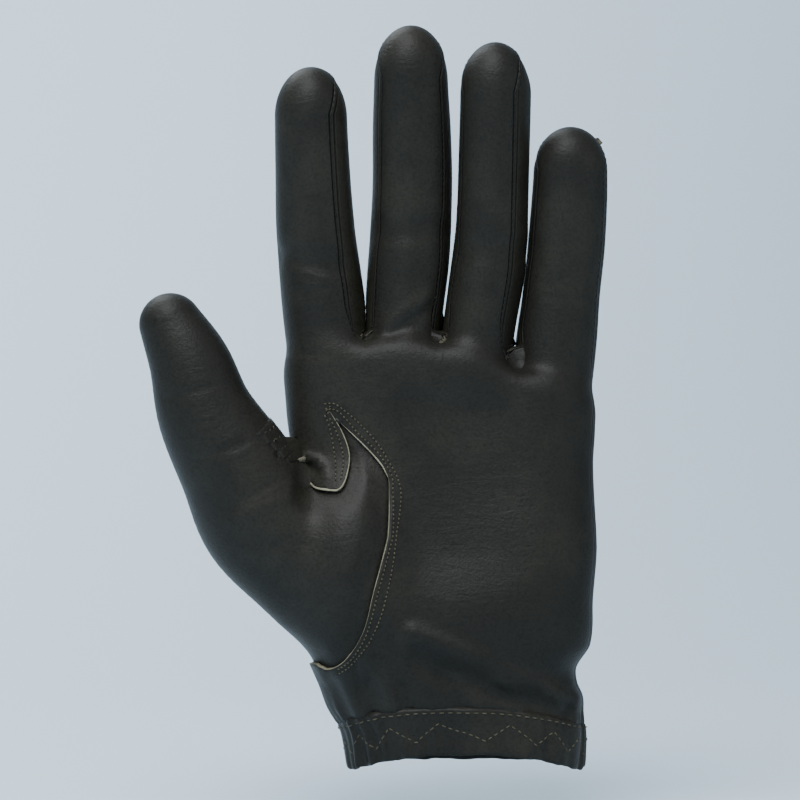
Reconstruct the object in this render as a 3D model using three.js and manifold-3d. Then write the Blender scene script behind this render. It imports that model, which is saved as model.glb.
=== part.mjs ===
// A left-hand leather driving glove, standing on its open wrist with the fingers up and the palm towards -Y.
// Every piece of leather is a tile of one thick skin: a grid of points is laid near the hand's surface, each
// point is moved onto the surface, and the wall is built inwards from there. Lengths are in millimetres.
import * as THREE from 'three';
import { mergeVertices } from 'three/addons/utils/BufferGeometryUtils.js';
import Module from 'manifold-3d';

const wasm = await Module();
wasm.setup();

// Leather, seams and hem
const WALL = 1.0;
const SEAM_GAP = 0.3;
const FINGER_GAP = 0.4;
const LAP_DROP = 1.6;
const HEM_TOP = 10.6;
const HEM_BOTTOM = -1.5;
const HEM_ARCH = 6;
const HEM_WAVES = 20;
const HEM_WAVE_HEIGHT = 0.5;
const HEM_WAVE_FADE = 0.6;
const HEM_PROUD = 0.5;

// How softly the forms run into each other
const FINGER_BLEND = 5;
const THUMB_BLEND = 6;
const WEB_BLEND = 3;
const THENAR_BLEND = 10;
const TOP_ROUNDING = 6;
const BODY_SQUARENESS = 2.5;

// How many rounds a point takes to reach a surface, how close is near enough, and its longest step
const SETTLE_ROUNDS = 12;
const SETTLED = 1e-4;
const LONGEST_STEP = 3;
const LEAST_SLOPE = 0.05;

// How many steps a grid has
const FINGER_COLUMNS = 6;
const SIDE_STRIP_COLUMNS = 4;
const THUMB_PALM_COLUMNS = 15;
const THUMB_BACK_COLUMNS = 9;
const HEM_COLUMNS = 80;

// Wrist and palm, a row for each height: the outer edges seen from the palm, and the palm and back surfaces
const BODY = [
  { z: -8, left: -31.5, right: 32.0, palm: -20.5, back: 21.5 },
  { z: 2, left: -32.3, right: 32.4, palm: -20.5, back: 21.5 },
  { z: 9, left: -34.0, right: 33.0, palm: -20.0, back: 21.0 },
  { z: 16, left: -38.0, right: 32.5, palm: -20.5, back: 20.5 },
  { z: 26, left: -41.0, right: 30.7, palm: -21.5, back: 19.5 },
  { z: 33, left: -42.5, right: 34.6, palm: -22.5, back: 18.8 },
  { z: 46, left: -44.5, right: 35.3, palm: -22.0, back: 17.8 },
  { z: 60, left: -46.3, right: 35.9, palm: -19.0, back: 17.0 },
  { z: 78, left: -47.4, right: 35.4, palm: -15.5, back: 16.5 },
  { z: 96, left: -48.4, right: 35.6, palm: -13.5, back: 16.5 },
  { z: 111, left: -49.2, right: 36.5, palm: -12.5, back: 15.5 },
  { z: 120, left: -49.6, right: 36.8, palm: -12.0, back: 14.5 },
];

// Fingers, a row for each height: centre line, half width and half depth. The seam columns say how far from
// the centre line the seams lie, as a share of the half width; a fold has no seam, and its share is 1.
const FINGERS = [
  {
    name: 'index', tip: 190.6, cap: 177, leftSeam: 1, rightSeam: 0.6, backLeftSeam: 1, backRightSeam: 0.75,
    rows: [
      { z: 98, x: -36.6, y: 1.5, half: 10.2, deep: 11.0 },
      { z: 121.6, x: -38.2, y: 1.2, half: 11.55, deep: 11.3 },
      { z: 134.8, x: -39.5, y: 0.6, half: 11.4, deep: 10.9 },
      { z: 148, x: -40.7, y: -0.4, half: 11.0, deep: 10.5 },
      { z: 161, x: -41.3, y: -1.8, half: 10.5, deep: 10.1 },
      { z: 178, x: -41.8, y: -4.0, half: 10.1, deep: 9.3 },
      { z: 192, x: -41.8, y: -5.4, half: 10.1, deep: 9.0 },
    ],
  },
  {
    name: 'middle', tip: 202, cap: 187,
    leftSeam: 0.82, rightSeam: 0.82, backLeftSeam: 0.75, backRightSeam: 0.75,
    rows: [
      { z: 98, x: -17.8, y: 2.5, half: 10.6, deep: 11.6 },
      { z: 118, x: -16.9, y: 2.4, half: 10.6, deep: 11.3 },
      { z: 138, x: -15.3, y: 2.0, half: 11.4, deep: 11.0 },
      { z: 158, x: -14.3, y: 1.2, half: 11.3, deep: 10.6 },
      { z: 174, x: -14.4, y: -0.6, half: 11.1, deep: 10.2 },
      { z: 188, x: -14.6, y: -3.0, half: 10.5, deep: 9.4 },
      { z: 203, x: -14.6, y: -5.0, half: 10.5, deep: 9.0 },
    ],
  },
  {
    name: 'ring', tip: 197.2, cap: 183,
    leftSeam: 0.93, rightSeam: 0.6, backLeftSeam: 0.75, backRightSeam: 0.75,
    rows: [
      { z: 96, x: 2.5, y: 0.4, half: 9.9, deep: 11.2 },
      { z: 114, x: 3.5, y: 0.2, half: 10.0, deep: 10.9 },
      { z: 138, x: 6.9, y: -0.6, half: 10.45, deep: 10.6 },
      { z: 151, x: 7.7, y: -1.8, half: 9.95, deep: 10.2 },
      { z: 166, x: 8.1, y: -3.4, half: 9.9, deep: 9.7 },
      { z: 183, x: 8.4, y: -5.2, half: 9.9, deep: 9.1 },
      { z: 198, x: 8.4, y: -6.8, half: 9.9, deep: 8.8 },
    ],
  },
  {
    name: 'little', tip: 174.4, cap: 162,
    leftSeam: 0.92, rightSeam: 0.92, backLeftSeam: 0.75, backRightSeam: 0.92,
    rows: [
      { z: 92, x: 23.6, y: 2.2, half: 10.4, deep: 10.6 },
      { z: 115, x: 25.4, y: 2.0, half: 11.2, deep: 10.6 },
      { z: 128, x: 26.7, y: 1.6, half: 10.75, deep: 10.2 },
      { z: 141, x: 28.05, y: 0.8, half: 10.7, deep: 9.8 },
      { z: 155, x: 28.9, y: -0.8, half: 10.45, deep: 9.4 },
      { z: 163, x: 29.1, y: -2.0, half: 10.2, deep: 9.0 },
      { z: 175, x: 29.1, y: -3.6, half: 10.2, deep: 8.8 },
    ],
  },
];
const FINGER_ROOT = 12;

// The foot of each slit between two fingers, on the palm side and on the back
const CROTCHES = [
  { x: -28.05, z: 116.6, y: -7.5, backZ: 110.6, backY: 10.5 },
  { x: -6.6, z: 118.2, y: -7.5, backZ: 112.0, backY: 10.5 },
  { x: 13.2, z: 111.4, y: -7.5, backZ: 105.6, backY: 10.0 },
];
const TOP_EDGE = { left: 116.6, right: 108.5 };
const BODY_TOP = [
  { x: -52, z: 113 },
  { x: -28, z: 116.4 },
  { x: -6.6, z: 115.6 },
  { x: 13.2, z: 109.0 },
  { x: 38, z: 102 },
];
const BACK_SLOPE = 0.24;
const SEAM_FLARE = 9;
// A fold fades out this near the sides of the hand
const FOLD_FADE = 4;
// Points keep this clear of a slit, from this far above its foot
const SLIT_CLEARANCE = 0.02;
const SLIT_START = 4;
// How far the foot line bulges up in the middle of a finger
const FOOT_BULGE = 2;
const ULNAR_SEAM_SHARE = 0.985;

// Thumb: balls along its bones, the web to the index side, and the mound of the thumb on the palm
const THUMB_BALLS = [
  { at: 0, x: -34.8, y: -5, z: 42.9, r: 13.9 },
  { at: 1, x: -45.6, y: -6.8, z: 54.7, r: 15.2 },
  { at: 2, x: -55.4, y: -8, z: 66.7, r: 16.6 },
  { at: 3, x: -61.9, y: -9, z: 80.3, r: 15.5 },
  { at: 4, x: -70.2, y: -9.7, z: 95.4, r: 13.2 },
  { at: 5, x: -74.5, y: -10, z: 109.1, r: 11.1 },
  { at: 6, x: -79.9, y: -9.5, z: 120.1, r: 8.6 },
];
const THUMB_WEB = [
  { x: -65.7, y: -8, z: 94.1, r: 7.8 },
  { x: -39.5, y: -3, z: 69.0, r: 9.4 },
];
// The thumb is this much flatter from palm to back than it is wide, about this depth
const THUMB_FLATNESS = 1.15;
const THUMB_DEPTH = -8;
const THUMB_STEPS = 16;
const THUMB_CHAIN = [];

const THENAR = { x: -31, y: -8, z: 52, rx: 15, ry: 16, rz: 26 };

// Ribs of the thumb, from the hand to the tip: where each meets the outer and the inner outline
const THUMB_RIBS = [
  { outerX: -64, outerZ: 54, innerX: -49.4, innerZ: 87.4, y: -8, deep: 14 },
  { outerX: -75, outerZ: 71.5, innerX: -50.6, innerZ: 89.8, y: -8, deep: 13.5 },
  { outerX: -81, outerZ: 84, innerX: -52.5, innerZ: 93, y: -9, deep: 12.5 },
  { outerX: -84, outerZ: 93, innerX: -56.5, innerZ: 98.5, y: -9.5, deep: 11.7 },
  { outerX: -85.5, outerZ: 101.5, innerX: -60, innerZ: 105, y: -10, deep: 11.3 },
  { outerX: -87, outerZ: 110, innerX: -63.5, innerZ: 112.5, y: -10, deep: 10.5 },
  { outerX: -88.9, outerZ: 118.5, innerX: -68.5, innerZ: 120, y: -9.6, deep: 9.4 },
];
const THUMB_TIP = { x: -80.4, y: -9.5, z: 128.8 };

// The lapped seam of the thumb, once round: the edge of the palm leather, and the hidden edge of the thumb
// leather a little further under it. turn is the angle round the thumb, 0 at the web and 90 at the palm side.
const THUMB_SEAM = [
  { face: 'side', edgeX: -48.2, edgeZ: 89.6, lapX: -48.2, lapZ: 94.5, turn: 0 },
  { face: 'palm', edgeX: -43.2, edgeZ: 76, lapX: -44.5, lapZ: 95, turn: 52 },
  { face: 'palm', edgeX: -37.5, edgeZ: 73, lapX: -41, lapZ: 99.5, turn: 68 },
  { face: 'palm', edgeX: -32.4, edgeZ: 72.8, lapX: -36.5, lapZ: 102.5, turn: 78 },
  { face: 'palm', edgeX: -29, edgeZ: 74.5, lapX: -31, lapZ: 97.5, turn: 86 },
  { face: 'palm', edgeX: -25.8, edgeZ: 77, lapX: -23.5, lapZ: 89, turn: 92 },
  { face: 'palm', edgeX: -22.4, edgeZ: 73, lapX: -17.8, lapZ: 79, turn: 98 },
  { face: 'palm', edgeX: -21.8, edgeZ: 65, lapX: -17.2, lapZ: 65, turn: 107 },
  { face: 'palm', edgeX: -25, edgeZ: 50, lapX: -20.8, lapZ: 49, turn: 124 },
  { face: 'palm', edgeX: -30, edgeZ: 36, lapX: -26, lapZ: 33, turn: 143 },
  { face: 'palm', edgeX: -35.5, edgeZ: 30, lapX: -33, lapZ: 24.5, turn: 160 },
  { face: 'side', edgeX: -41.5, edgeZ: 31, lapX: -41.5, lapZ: 25, turn: 180 },
  { face: 'back', edgeX: -37, edgeZ: 35, lapX: -34, lapZ: 30, turn: 205 },
  { face: 'back', edgeX: -32, edgeZ: 44, lapX: -27.5, lapZ: 42, turn: 235 },
  { face: 'back', edgeX: -30.5, edgeZ: 55, lapX: -26.5, lapZ: 55.5, turn: 270 },
  { face: 'back', edgeX: -33, edgeZ: 67, lapX: -29.5, lapZ: 70, turn: 305 },
  { face: 'back', edgeX: -41, edgeZ: 79, lapX: -39.5, lapZ: 85.5, turn: 335 },
];

// The cut edge of the thumb hole, seen from the palm and from the back; both run out past the hand's side
const PALM_HOLE = [
  { x: -62, z: 91.2 }, { x: -47.6, z: 90.8 }, { x: -44.8, z: 88.6 }, { x: -43.9, z: 80.0 },
  { x: -38.6, z: 75.2 }, { x: -34.2, z: 75.6 }, { x: -32.2, z: 79.2 }, { x: -31.7, z: 84.5 },
  { x: -33.6, z: 91.0 },
  { x: -37.4, z: 98.5 }, { x: -31.4, z: 91.2 }, { x: -24.7, z: 84.3 }, { x: -21.0, z: 78.0 },
  { x: -20.5, z: 69.0 }, { x: -21.4, z: 59.5 }, { x: -25.0, z: 45.7 }, { x: -29.2, z: 33.0 },
  { x: -32.6, z: 28.1 }, { x: -36.2, z: 26.0 }, { x: -41.4, z: 27.6 }, { x: -62, z: 31 },
];
const BACK_HOLE = [
  { x: -62, z: 91.2 }, { x: -47.9, z: 90.8 }, { x: -40, z: 81.5 }, { x: -33, z: 72.5 },
  { x: -29.6, z: 62 }, { x: -29.2, z: 52 }, { x: -31.2, z: 41.5 }, { x: -35.6, z: 33.5 },
  { x: -41.4, z: 29.2 }, { x: -62, z: 31 },
];

// Folds and hollows, a row each: a ridge (or with a negative height a valley) along a line in front view
const FOLDS = [
  { name: 'heel crease', x1: -14, z1: 36, x2: 31, z2: 17, height: 1.1, width: 4.2, side: -1 },
  { name: 'valley under the heel', x1: -10, z1: 29, x2: 27, z2: 14, height: -1.3, width: 4.0, side: -1 },
  { name: 'wrist gather left', x1: -26, z1: 23, x2: -23, z2: 12, height: -1.0, width: 2.6, side: -1 },
  { name: 'wrist gather middle', x1: -17, z1: 22, x2: -14, z2: 12, height: -0.9, width: 2.6, side: -1 },
  { name: 'wrist gather right', x1: -6, z1: 25, x2: 2, z2: 12, height: -0.9, width: 3.0, side: -1 },
  { name: 'hollow of the palm', x1: -4, z1: 62, x2: 0, z2: 88, height: -1.8, width: 17, side: -1 },
  { name: 'pad under the middle', x1: -18, z1: 104, x2: -2, z2: 106, height: 0.9, width: 9, side: -1 },
  { name: 'pad under the little', x1: 22, z1: 98, x2: 28, z2: 60, height: 1.3, width: 10, side: -1 },
  { name: 'index bend', x1: -50, z1: 139, x2: -34, z2: 136, height: -0.7, width: 3.0, side: -1 },
  { name: 'middle bend', x1: -25, z1: 146, x2: -6, z2: 146, height: -0.5, width: 3.5, side: -1 },
  { name: 'ring bend', x1: -1, z1: 140, x2: 15, z2: 140, height: -0.5, width: 3.5, side: -1 },
  { name: 'index knuckle', x1: -37, z1: 108, x2: -37, z2: 111, height: 1.6, width: 9, side: 1 },
  { name: 'middle knuckle', x1: -16, z1: 111, x2: -16, z2: 114, height: 1.8, width: 9, side: 1 },
  { name: 'ring knuckle', x1: 4, z1: 106, x2: 4, z2: 109, height: 1.5, width: 9, side: 1 },
  { name: 'little knuckle', x1: 24, z1: 98, x2: 24, z2: 101, height: 1.4, width: 9, side: 1 },
];

const LEATHER = new THREE.MeshStandardMaterial({ color: 0x262521, roughness: 0.5, metalness: 0 });
const STRIP_LEATHER = new THREE.MeshStandardMaterial({ color: 0x2b2922, roughness: 0.55, metalness: 0 });
const HEM_LEATHER = new THREE.MeshStandardMaterial({ color: 0x23221e, roughness: 0.55, metalness: 0 });

const mix = (a, b, t) => a + (b - a) * t;
const clamp = (value, low, high) => Math.min(Math.max(value, low), high);
const smooth = (t) => {
  const s = clamp(t, 0, 1);
  return s * s * (3 - 2 * s);
};
const signedPower = (value, power) => Math.sign(value) * Math.abs(value) ** power;
const mixPoints = (a, b, t) => a.clone().lerp(b, t);

// Reads one column of a table at any height, by a cubic through the rows
function column(rows, name, at, key = 'z') {
  let i = 0;
  while (i < rows.length - 2 && at > rows[i + 1][key]) i += 1;
  const [a, b] = [rows[i], rows[i + 1]];
  const before = rows[i - 1] ?? a;
  const after = rows[i + 2] ?? b;
  const span = b[key] - a[key];
  const slopeA = ((b[name] - before[name]) / (b[key] - before[key])) * span;
  const slopeB = ((after[name] - a[name]) / (after[key] - a[key])) * span;
  const t = clamp((at - a[key]) / span, 0, 1);
  const t2 = t * t;
  const t3 = t2 * t;
  return (2 * t3 - 3 * t2 + 1) * a[name] + (t3 - 2 * t2 + t) * slopeA
    + (3 * t2 - 2 * t3) * b[name] + (t3 - t2) * slopeB;
}

// The thumb's balls, read closer together by the same cubic
for (let i = 0; i <= THUMB_STEPS; i += 1) {
  const at = (i / THUMB_STEPS) * (THUMB_BALLS.length - 1);
  const read = (name) => column(THUMB_BALLS, name, at, 'at');
  THUMB_CHAIN.push({ x: read('x'), y: read('y'), z: read('z'), r: read('r') });
}

// Union and intersection with a rounded transition as wide as blend
function softMin(a, b, blend) {
  const h = Math.max(blend - Math.abs(a - b), 0) / blend;
  return Math.min(a, b) - (h * h * blend) / 4;
}
const softMax = (a, b, blend) => -softMin(-a, -b, blend);

function bodySection(z) {
  const left = column(BODY, 'left', z);
  const right = column(BODY, 'right', z);
  const palm = column(BODY, 'palm', z);
  const back = column(BODY, 'back', z);
  return { x: (left + right) / 2, y: (palm + back) / 2, half: (right - left) / 2, deep: (back - palm) / 2 };
}

// Distance to the wrist and palm: a squarish oval section, closed by the web between the fingers
function bodyField(p) {
  const s = bodySection(p.z);
  const n = BODY_SQUARENESS;
  const u = Math.abs(p.x - s.x) / s.half + 1e-6;
  const v = Math.abs(p.y - s.y) / s.deep + 1e-6;
  const q = (u ** n + v ** n) ** (1 / n);
  const slope = q ** (1 - n) * Math.hypot(u ** (n - 1) / s.half, v ** (n - 1) / s.deep);
  const side = (q - 1) / slope;
  const top = column(BODY_TOP, 'z', p.x, 'x') - BACK_SLOPE * (p.y - s.y + s.deep);
  return softMax(side, p.z - top, TOP_ROUNDING);
}

function fingerSection(finger, z) {
  const { rows } = finger;
  return {
    x: column(rows, 'x', z),
    y: column(rows, 'y', z),
    half: column(rows, 'half', z),
    deep: column(rows, 'deep', z),
  };
}

// Distance to one finger: an oval section with a rounded tip, and a root that ends inside the palm
function fingerField(finger, p) {
  const s = fingerSection(finger, p.z);
  const above = Math.max(p.z - finger.cap, 0) / (finger.tip - finger.cap);
  const below = Math.max(finger.rows[0].z - p.z, 0) / FINGER_ROOT;
  const u = (p.x - s.x) / s.half;
  const v = (p.y - s.y) / s.deep;
  const w = above + below;
  const k = Math.hypot(u, v, w) + 1e-6;
  const end = below > 0 ? FINGER_ROOT : finger.tip - finger.cap;
  return (k * (k - 1)) / (Math.hypot(u / s.half, v / s.deep, w / end) + 1e-6);
}

// How far a point lies past the middle of the slit between two neighbours, towards the second one
function pastSlit(first, second, p) {
  const a = fingerSection(first, p.z);
  const b = fingerSection(second, p.z);
  const apart = Math.hypot(b.x - a.x, b.y - a.y);
  const nx = (b.x - a.x) / apart;
  const ny = (b.y - a.y) / apart;
  const share = (a.half / (a.half + b.half)) * apart;
  return (p.x - a.x - nx * share) * nx + (p.y - a.y - ny * share) * ny;
}

// Distance to all four fingers, which press against each other but keep a fine slit
function fingersField(p) {
  let nearest = Infinity;
  FINGERS.forEach((finger, i) => {
    let own = fingerField(finger, p);
    if (i > 0) own = Math.max(own, FINGER_GAP / 2 - pastSlit(FINGERS[i - 1], finger, p));
    if (i < FINGERS.length - 1) own = Math.max(own, FINGER_GAP / 2 + pastSlit(finger, FINGERS[i + 1], p));
    nearest = Math.min(nearest, own);
  });
  return nearest;
}

// Height of all folds at a point
function foldHeight(p) {
  const s = bodySection(p.z);
  const side = Math.sign(p.y - s.y);
  let height = 0;
  for (const fold of FOLDS) {
    if (fold.side === side) {
      const dx = fold.x2 - fold.x1;
      const dz = fold.z2 - fold.z1;
      const t = clamp(((p.x - fold.x1) * dx + (p.z - fold.z1) * dz) / (dx * dx + dz * dz), 0, 1);
      const away = Math.hypot(p.x - fold.x1 - t * dx, p.z - fold.z1 - t * dz) / fold.width;
      height += fold.height * Math.exp(-away * away) * smooth(Math.abs(p.y - s.y) / FOLD_FADE);
    }
  }
  return height;
}

function ballField(p, ball) {
  return Math.hypot(p.x - ball.x, p.y - ball.y, p.z - ball.z) - ball.r;
}

// Distance to a tapering round bar between two balls
function barField(p, a, b) {
  const along = new THREE.Vector3(b.x - a.x, b.y - a.y, b.z - a.z);
  const from = new THREE.Vector3(p.x - a.x, p.y - a.y, p.z - a.z);
  const t = clamp(from.dot(along) / along.lengthSq(), 0, 1);
  const middle = { x: mix(a.x, b.x, t), y: mix(a.y, b.y, t), z: mix(a.z, b.z, t), r: mix(a.r, b.r, t) };
  return ballField(p, middle);
}

// Distance to the thumb: a chain of short bars through its balls, with its web
function thumbField(p) {
  const flat = new THREE.Vector3(p.x, THUMB_DEPTH + (p.y - THUMB_DEPTH) * THUMB_FLATNESS, p.z);
  let nearest = Infinity;
  for (let i = 0; i < THUMB_STEPS; i += 1) {
    nearest = Math.min(nearest, barField(flat, THUMB_CHAIN[i], THUMB_CHAIN[i + 1]));
  }
  return softMin(nearest, barField(flat, THUMB_WEB[0], THUMB_WEB[1]), WEB_BLEND);
}

function thenarField(p) {
  const u = (p.x - THENAR.x) / THENAR.rx;
  const v = (p.y - THENAR.y) / THENAR.ry;
  const w = (p.z - THENAR.z) / THENAR.rz;
  const k = Math.hypot(u, v, w) + 1e-6;
  return (k * (k - 1)) / (Math.hypot(u / THENAR.rx, v / THENAR.ry, w / THENAR.rz) + 1e-6);
}

// The main leather follows the palm, the fingers and the mound; the whole hand has the thumb too
function trankField(p) {
  const palm = softMin(bodyField(p), thenarField(p), THENAR_BLEND);
  return softMin(palm, fingersField(p), FINGER_BLEND) - foldHeight(p);
}
const handField = (p) => softMin(trankField(p), thumbField(p), THUMB_BLEND);

function gradient(field, p) {
  const step = 0.02;
  const at = (x, y, z) => field(new THREE.Vector3(p.x + x, p.y + y, p.z + z));
  return new THREE.Vector3(
    at(step, 0, 0) - at(-step, 0, 0),
    at(0, step, 0) - at(0, -step, 0),
    at(0, 0, step) - at(0, 0, -step),
  ).divideScalar(2 * step);
}

// Moves a point onto the surface of a field
function settle(field, guess) {
  const p = guess.clone();
  for (let i = 0; i < SETTLE_ROUNDS; i += 1) {
    const value = field(p);
    if (Math.abs(value) < SETTLED) break;
    const g = gradient(field, p);
    const move = clamp(value / Math.max(g.lengthSq(), LEAST_SLOPE), -LONGEST_STEP, LONGEST_STEP);
    p.addScaledVector(g, -move);
  }
  return p;
}

// A sheet of quads with shared corners: each point has an outer place and a normal
class Sheet {
  constructor() {
    this.outer = [];
    this.normals = [];
    this.quads = [];
  }

  add(field, guess, drop = 0) {
    const p = settle(field, guess);
    const normal = gradient(field, p).normalize();
    this.outer.push(p.addScaledVector(normal, -drop));
    this.normals.push(normal);
    return this.outer.length - 1;
  }

  grid(rows) {
    for (let r = 0; r < rows.length - 1; r += 1) {
      for (let c = 0; c < rows[r].length - 1; c += 1) {
        this.quads.push([rows[r][c], rows[r][c + 1], rows[r + 1][c + 1], rows[r + 1][c]]);
      }
    }
  }

  // Closes the sheet into a solid wall: outer skin, inner skin and a rim along every open edge
  solid(wall) {
    const count = this.outer.length;
    const inner = this.outer.map((p, i) => p.clone().addScaledVector(this.normals[i], -wall));
    const points = [...this.outer, ...inner];
    const triangles = [];
    const edges = new Map();
    for (const quad of this.quads) {
      const corners = quad.filter((id, i) => id !== quad[(i + 1) % quad.length]);
      for (let i = 1; i < corners.length - 1; i += 1) {
        const [a, b, c] = [corners[0], corners[i], corners[i + 1]];
        triangles.push([a, b, c], [a + count, c + count, b + count]);
      }
      corners.forEach((id, i) => {
        const next = corners[(i + 1) % corners.length];
        if (edges.has(`${next},${id}`)) edges.delete(`${next},${id}`);
        else edges.set(`${id},${next}`, [id, next]);
      });
    }
    for (const [a, b] of edges.values()) {
      triangles.push([a, a + count, b], [b, a + count, b + count]);
    }
    return geometryOf(points, triangles);
  }
}

// A geometry from points and triangles, turned so that its faces point outwards
function geometryOf(points, triangles) {
  let volume = 0;
  for (const [a, b, c] of triangles) {
    volume += points[a].dot(new THREE.Vector3().crossVectors(points[b], points[c]));
  }
  const index = volume > 0 ? triangles.flat() : triangles.flatMap(([a, b, c]) => [a, c, b]);
  const geometry = new THREE.BufferGeometry();
  const places = points.flatMap((p) => p.toArray());
  geometry.setAttribute('position', new THREE.Float32BufferAttribute(places, 3));
  geometry.setIndex(index);
  return geometry;
}

function toManifold(geometry) {
  const bare = geometry.clone();
  bare.deleteAttribute('normal');
  bare.deleteAttribute('uv');
  const merged = mergeVertices(bare, 1e-4);
  return new wasm.Manifold(new wasm.Mesh({
    numProp: 3,
    vertProperties: new Float32Array(merged.attributes.position.array),
    triVerts: new Uint32Array(merged.index.array),
  }));
}

function fromManifold(solid) {
  const mesh = solid.getMesh();
  const geometry = new THREE.BufferGeometry();
  geometry.setAttribute('position', new THREE.BufferAttribute(mesh.vertProperties, 3));
  geometry.setIndex(new THREE.BufferAttribute(mesh.triVerts, 1));
  return geometry;
}

// A point of the palm's section at an angle: -180 at the index side, -90 on the palm, 0 at the little finger
function bodyPoint(z, angle) {
  const s = bodySection(z);
  const power = 2 / BODY_SQUARENESS;
  return new THREE.Vector3(
    s.x + s.half * signedPower(Math.cos(angle), power),
    s.y + s.deep * signedPower(Math.sin(angle), power),
    z,
  );
}

// The hem runs level round the back and arches up across the palm side
const archAt = (angle) => HEM_ARCH * Math.max(-Math.sin(angle), 0) ** 2;

// The seam's angle from the middle of the front (or back) of a finger
function seamAngle(share, half) {
  return share < 1 ? Math.asin(share) - SEAM_GAP / 2 / half : Math.PI / 2 - SEAM_GAP / 2 / half;
}

// A guess for a point of a finger: across runs -1 to 1 between its seams, up runs 0 to 1 from foot to tip
const CAP_START = 0.68;
const TIP_SPREAD = 0.9;
const TIP_APART = 0.016;
function fingerPoint(index, facing, across, up) {
  const finger = FINGERS[index];
  const isPalm = facing < 0;
  const left = isPalm ? finger.leftSeam : finger.backLeftSeam;
  const right = isPalm ? finger.rightSeam : finger.backRightSeam;
  const footLeft = footOf(index - 1, facing);
  const footRight = footOf(index, facing);
  const footZ = mix(footLeft.z, footRight.z, (across + 1) / 2) + FOOT_BULGE * (1 - across * across);
  const z = mix(footZ, finger.cap, Math.min(up / CAP_START, 1));
  const s = fingerSection(finger, z);
  // past the middle of the side, the back leather comes round to the palm side at the outer seam
  const outer = !isPalm && index === FINGERS.length - 1;
  const rightAngle = outer ? Math.PI - Math.asin(right) - SEAM_GAP / 2 / s.half : seamAngle(right, s.half);
  const angle = across < 0 ? across * seamAngle(left, s.half) : across * rightAngle;
  const flat = new THREE.Vector3(Math.sin(angle), facing * Math.cos(angle), 0);
  let direction = flat;
  if (up > CAP_START) {
    const t = (up - CAP_START) / (1 - CAP_START);
    const spread = across * TIP_SPREAD;
    const top = new THREE.Vector3(Math.sin(spread), facing * TIP_APART, Math.cos(spread));
    direction = flat.clone().multiplyScalar(1 - t).add(top.multiplyScalar(t)).normalize();
  }
  const guess = new THREE.Vector3(
    s.x + direction.x * s.half,
    s.y + direction.y * s.deep,
    z + direction.z * (finger.tip - finger.cap),
  );
  // near its foot the seam swings out to the foot of the slit
  const flare = 1 - smooth((z - footZ) / SEAM_FLARE);
  const swing = flare * across * across * smooth(1 - up);
  if (across < 0 && index > 0) guess.lerp(footLeft, swing);
  if (across > 0 && index < FINGERS.length - 1) guess.lerp(footRight, swing);
  return keepClear(index, guess);
}

// Holds a finger's point on its own side of the slits
function keepClear(index, p) {
  const room = FINGER_GAP / 2 + SLIT_CLEARANCE;
  if (index > 0) {
    const gap = pastSlit(FINGERS[index - 1], FINGERS[index], p);
    if (gap < room && p.z > CROTCHES[index - 1].z + SLIT_START) p.x += room - gap;
  }
  if (index < FINGERS.length - 1) {
    const gap = -pastSlit(FINGERS[index], FINGERS[index + 1], p);
    if (gap < room && p.z > CROTCHES[index].z + SLIT_START) p.x -= room - gap;
  }
  return p;
}

// The foot of the slit to the right of a finger, or the side of the hand where there is no slit
function footOf(index, facing) {
  const isPalm = facing < 0;
  if (index < 0) {
    const s = fingerSection(FINGERS[0], TOP_EDGE.left);
    return new THREE.Vector3(s.x - s.half, s.y + (facing * SEAM_GAP) / 2, TOP_EDGE.left);
  }
  if (index >= CROTCHES.length) {
    const s = fingerSection(FINGERS[3], TOP_EDGE.right);
    const angle = Math.asin(FINGERS[3].rightSeam);
    const y = s.y - s.deep * Math.cos(angle) + (facing * SEAM_GAP) / 2;
    return new THREE.Vector3(s.x + s.half * Math.sin(angle), y, TOP_EDGE.right);
  }
  const foot = CROTCHES[index];
  const z = (isPalm ? foot.z : foot.backZ) - SEAM_GAP / 2;
  return new THREE.Vector3(foot.x, isPalm ? foot.y : foot.backY, z);
}

// Heights of the palm's rows as shares of the way from the hem to the fingers; closer together at the wrist
const PALM_ROWS = [0, 0.035, 0.07, 0.11, 0.15, 0.2, 0.26, 0.33, 0.41, 0.5, 0.59, 0.68, 0.76, 0.84, 0.92, 1];
const FOOT_BLEND_FROM = 0.7;
const FINGER_ROWS = [0, 0.05, 0.11, 0.18, 0.27, 0.36, 0.45, 0.54, 0.62, CAP_START, 0.77, 0.86, 0.94, 1];

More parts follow.
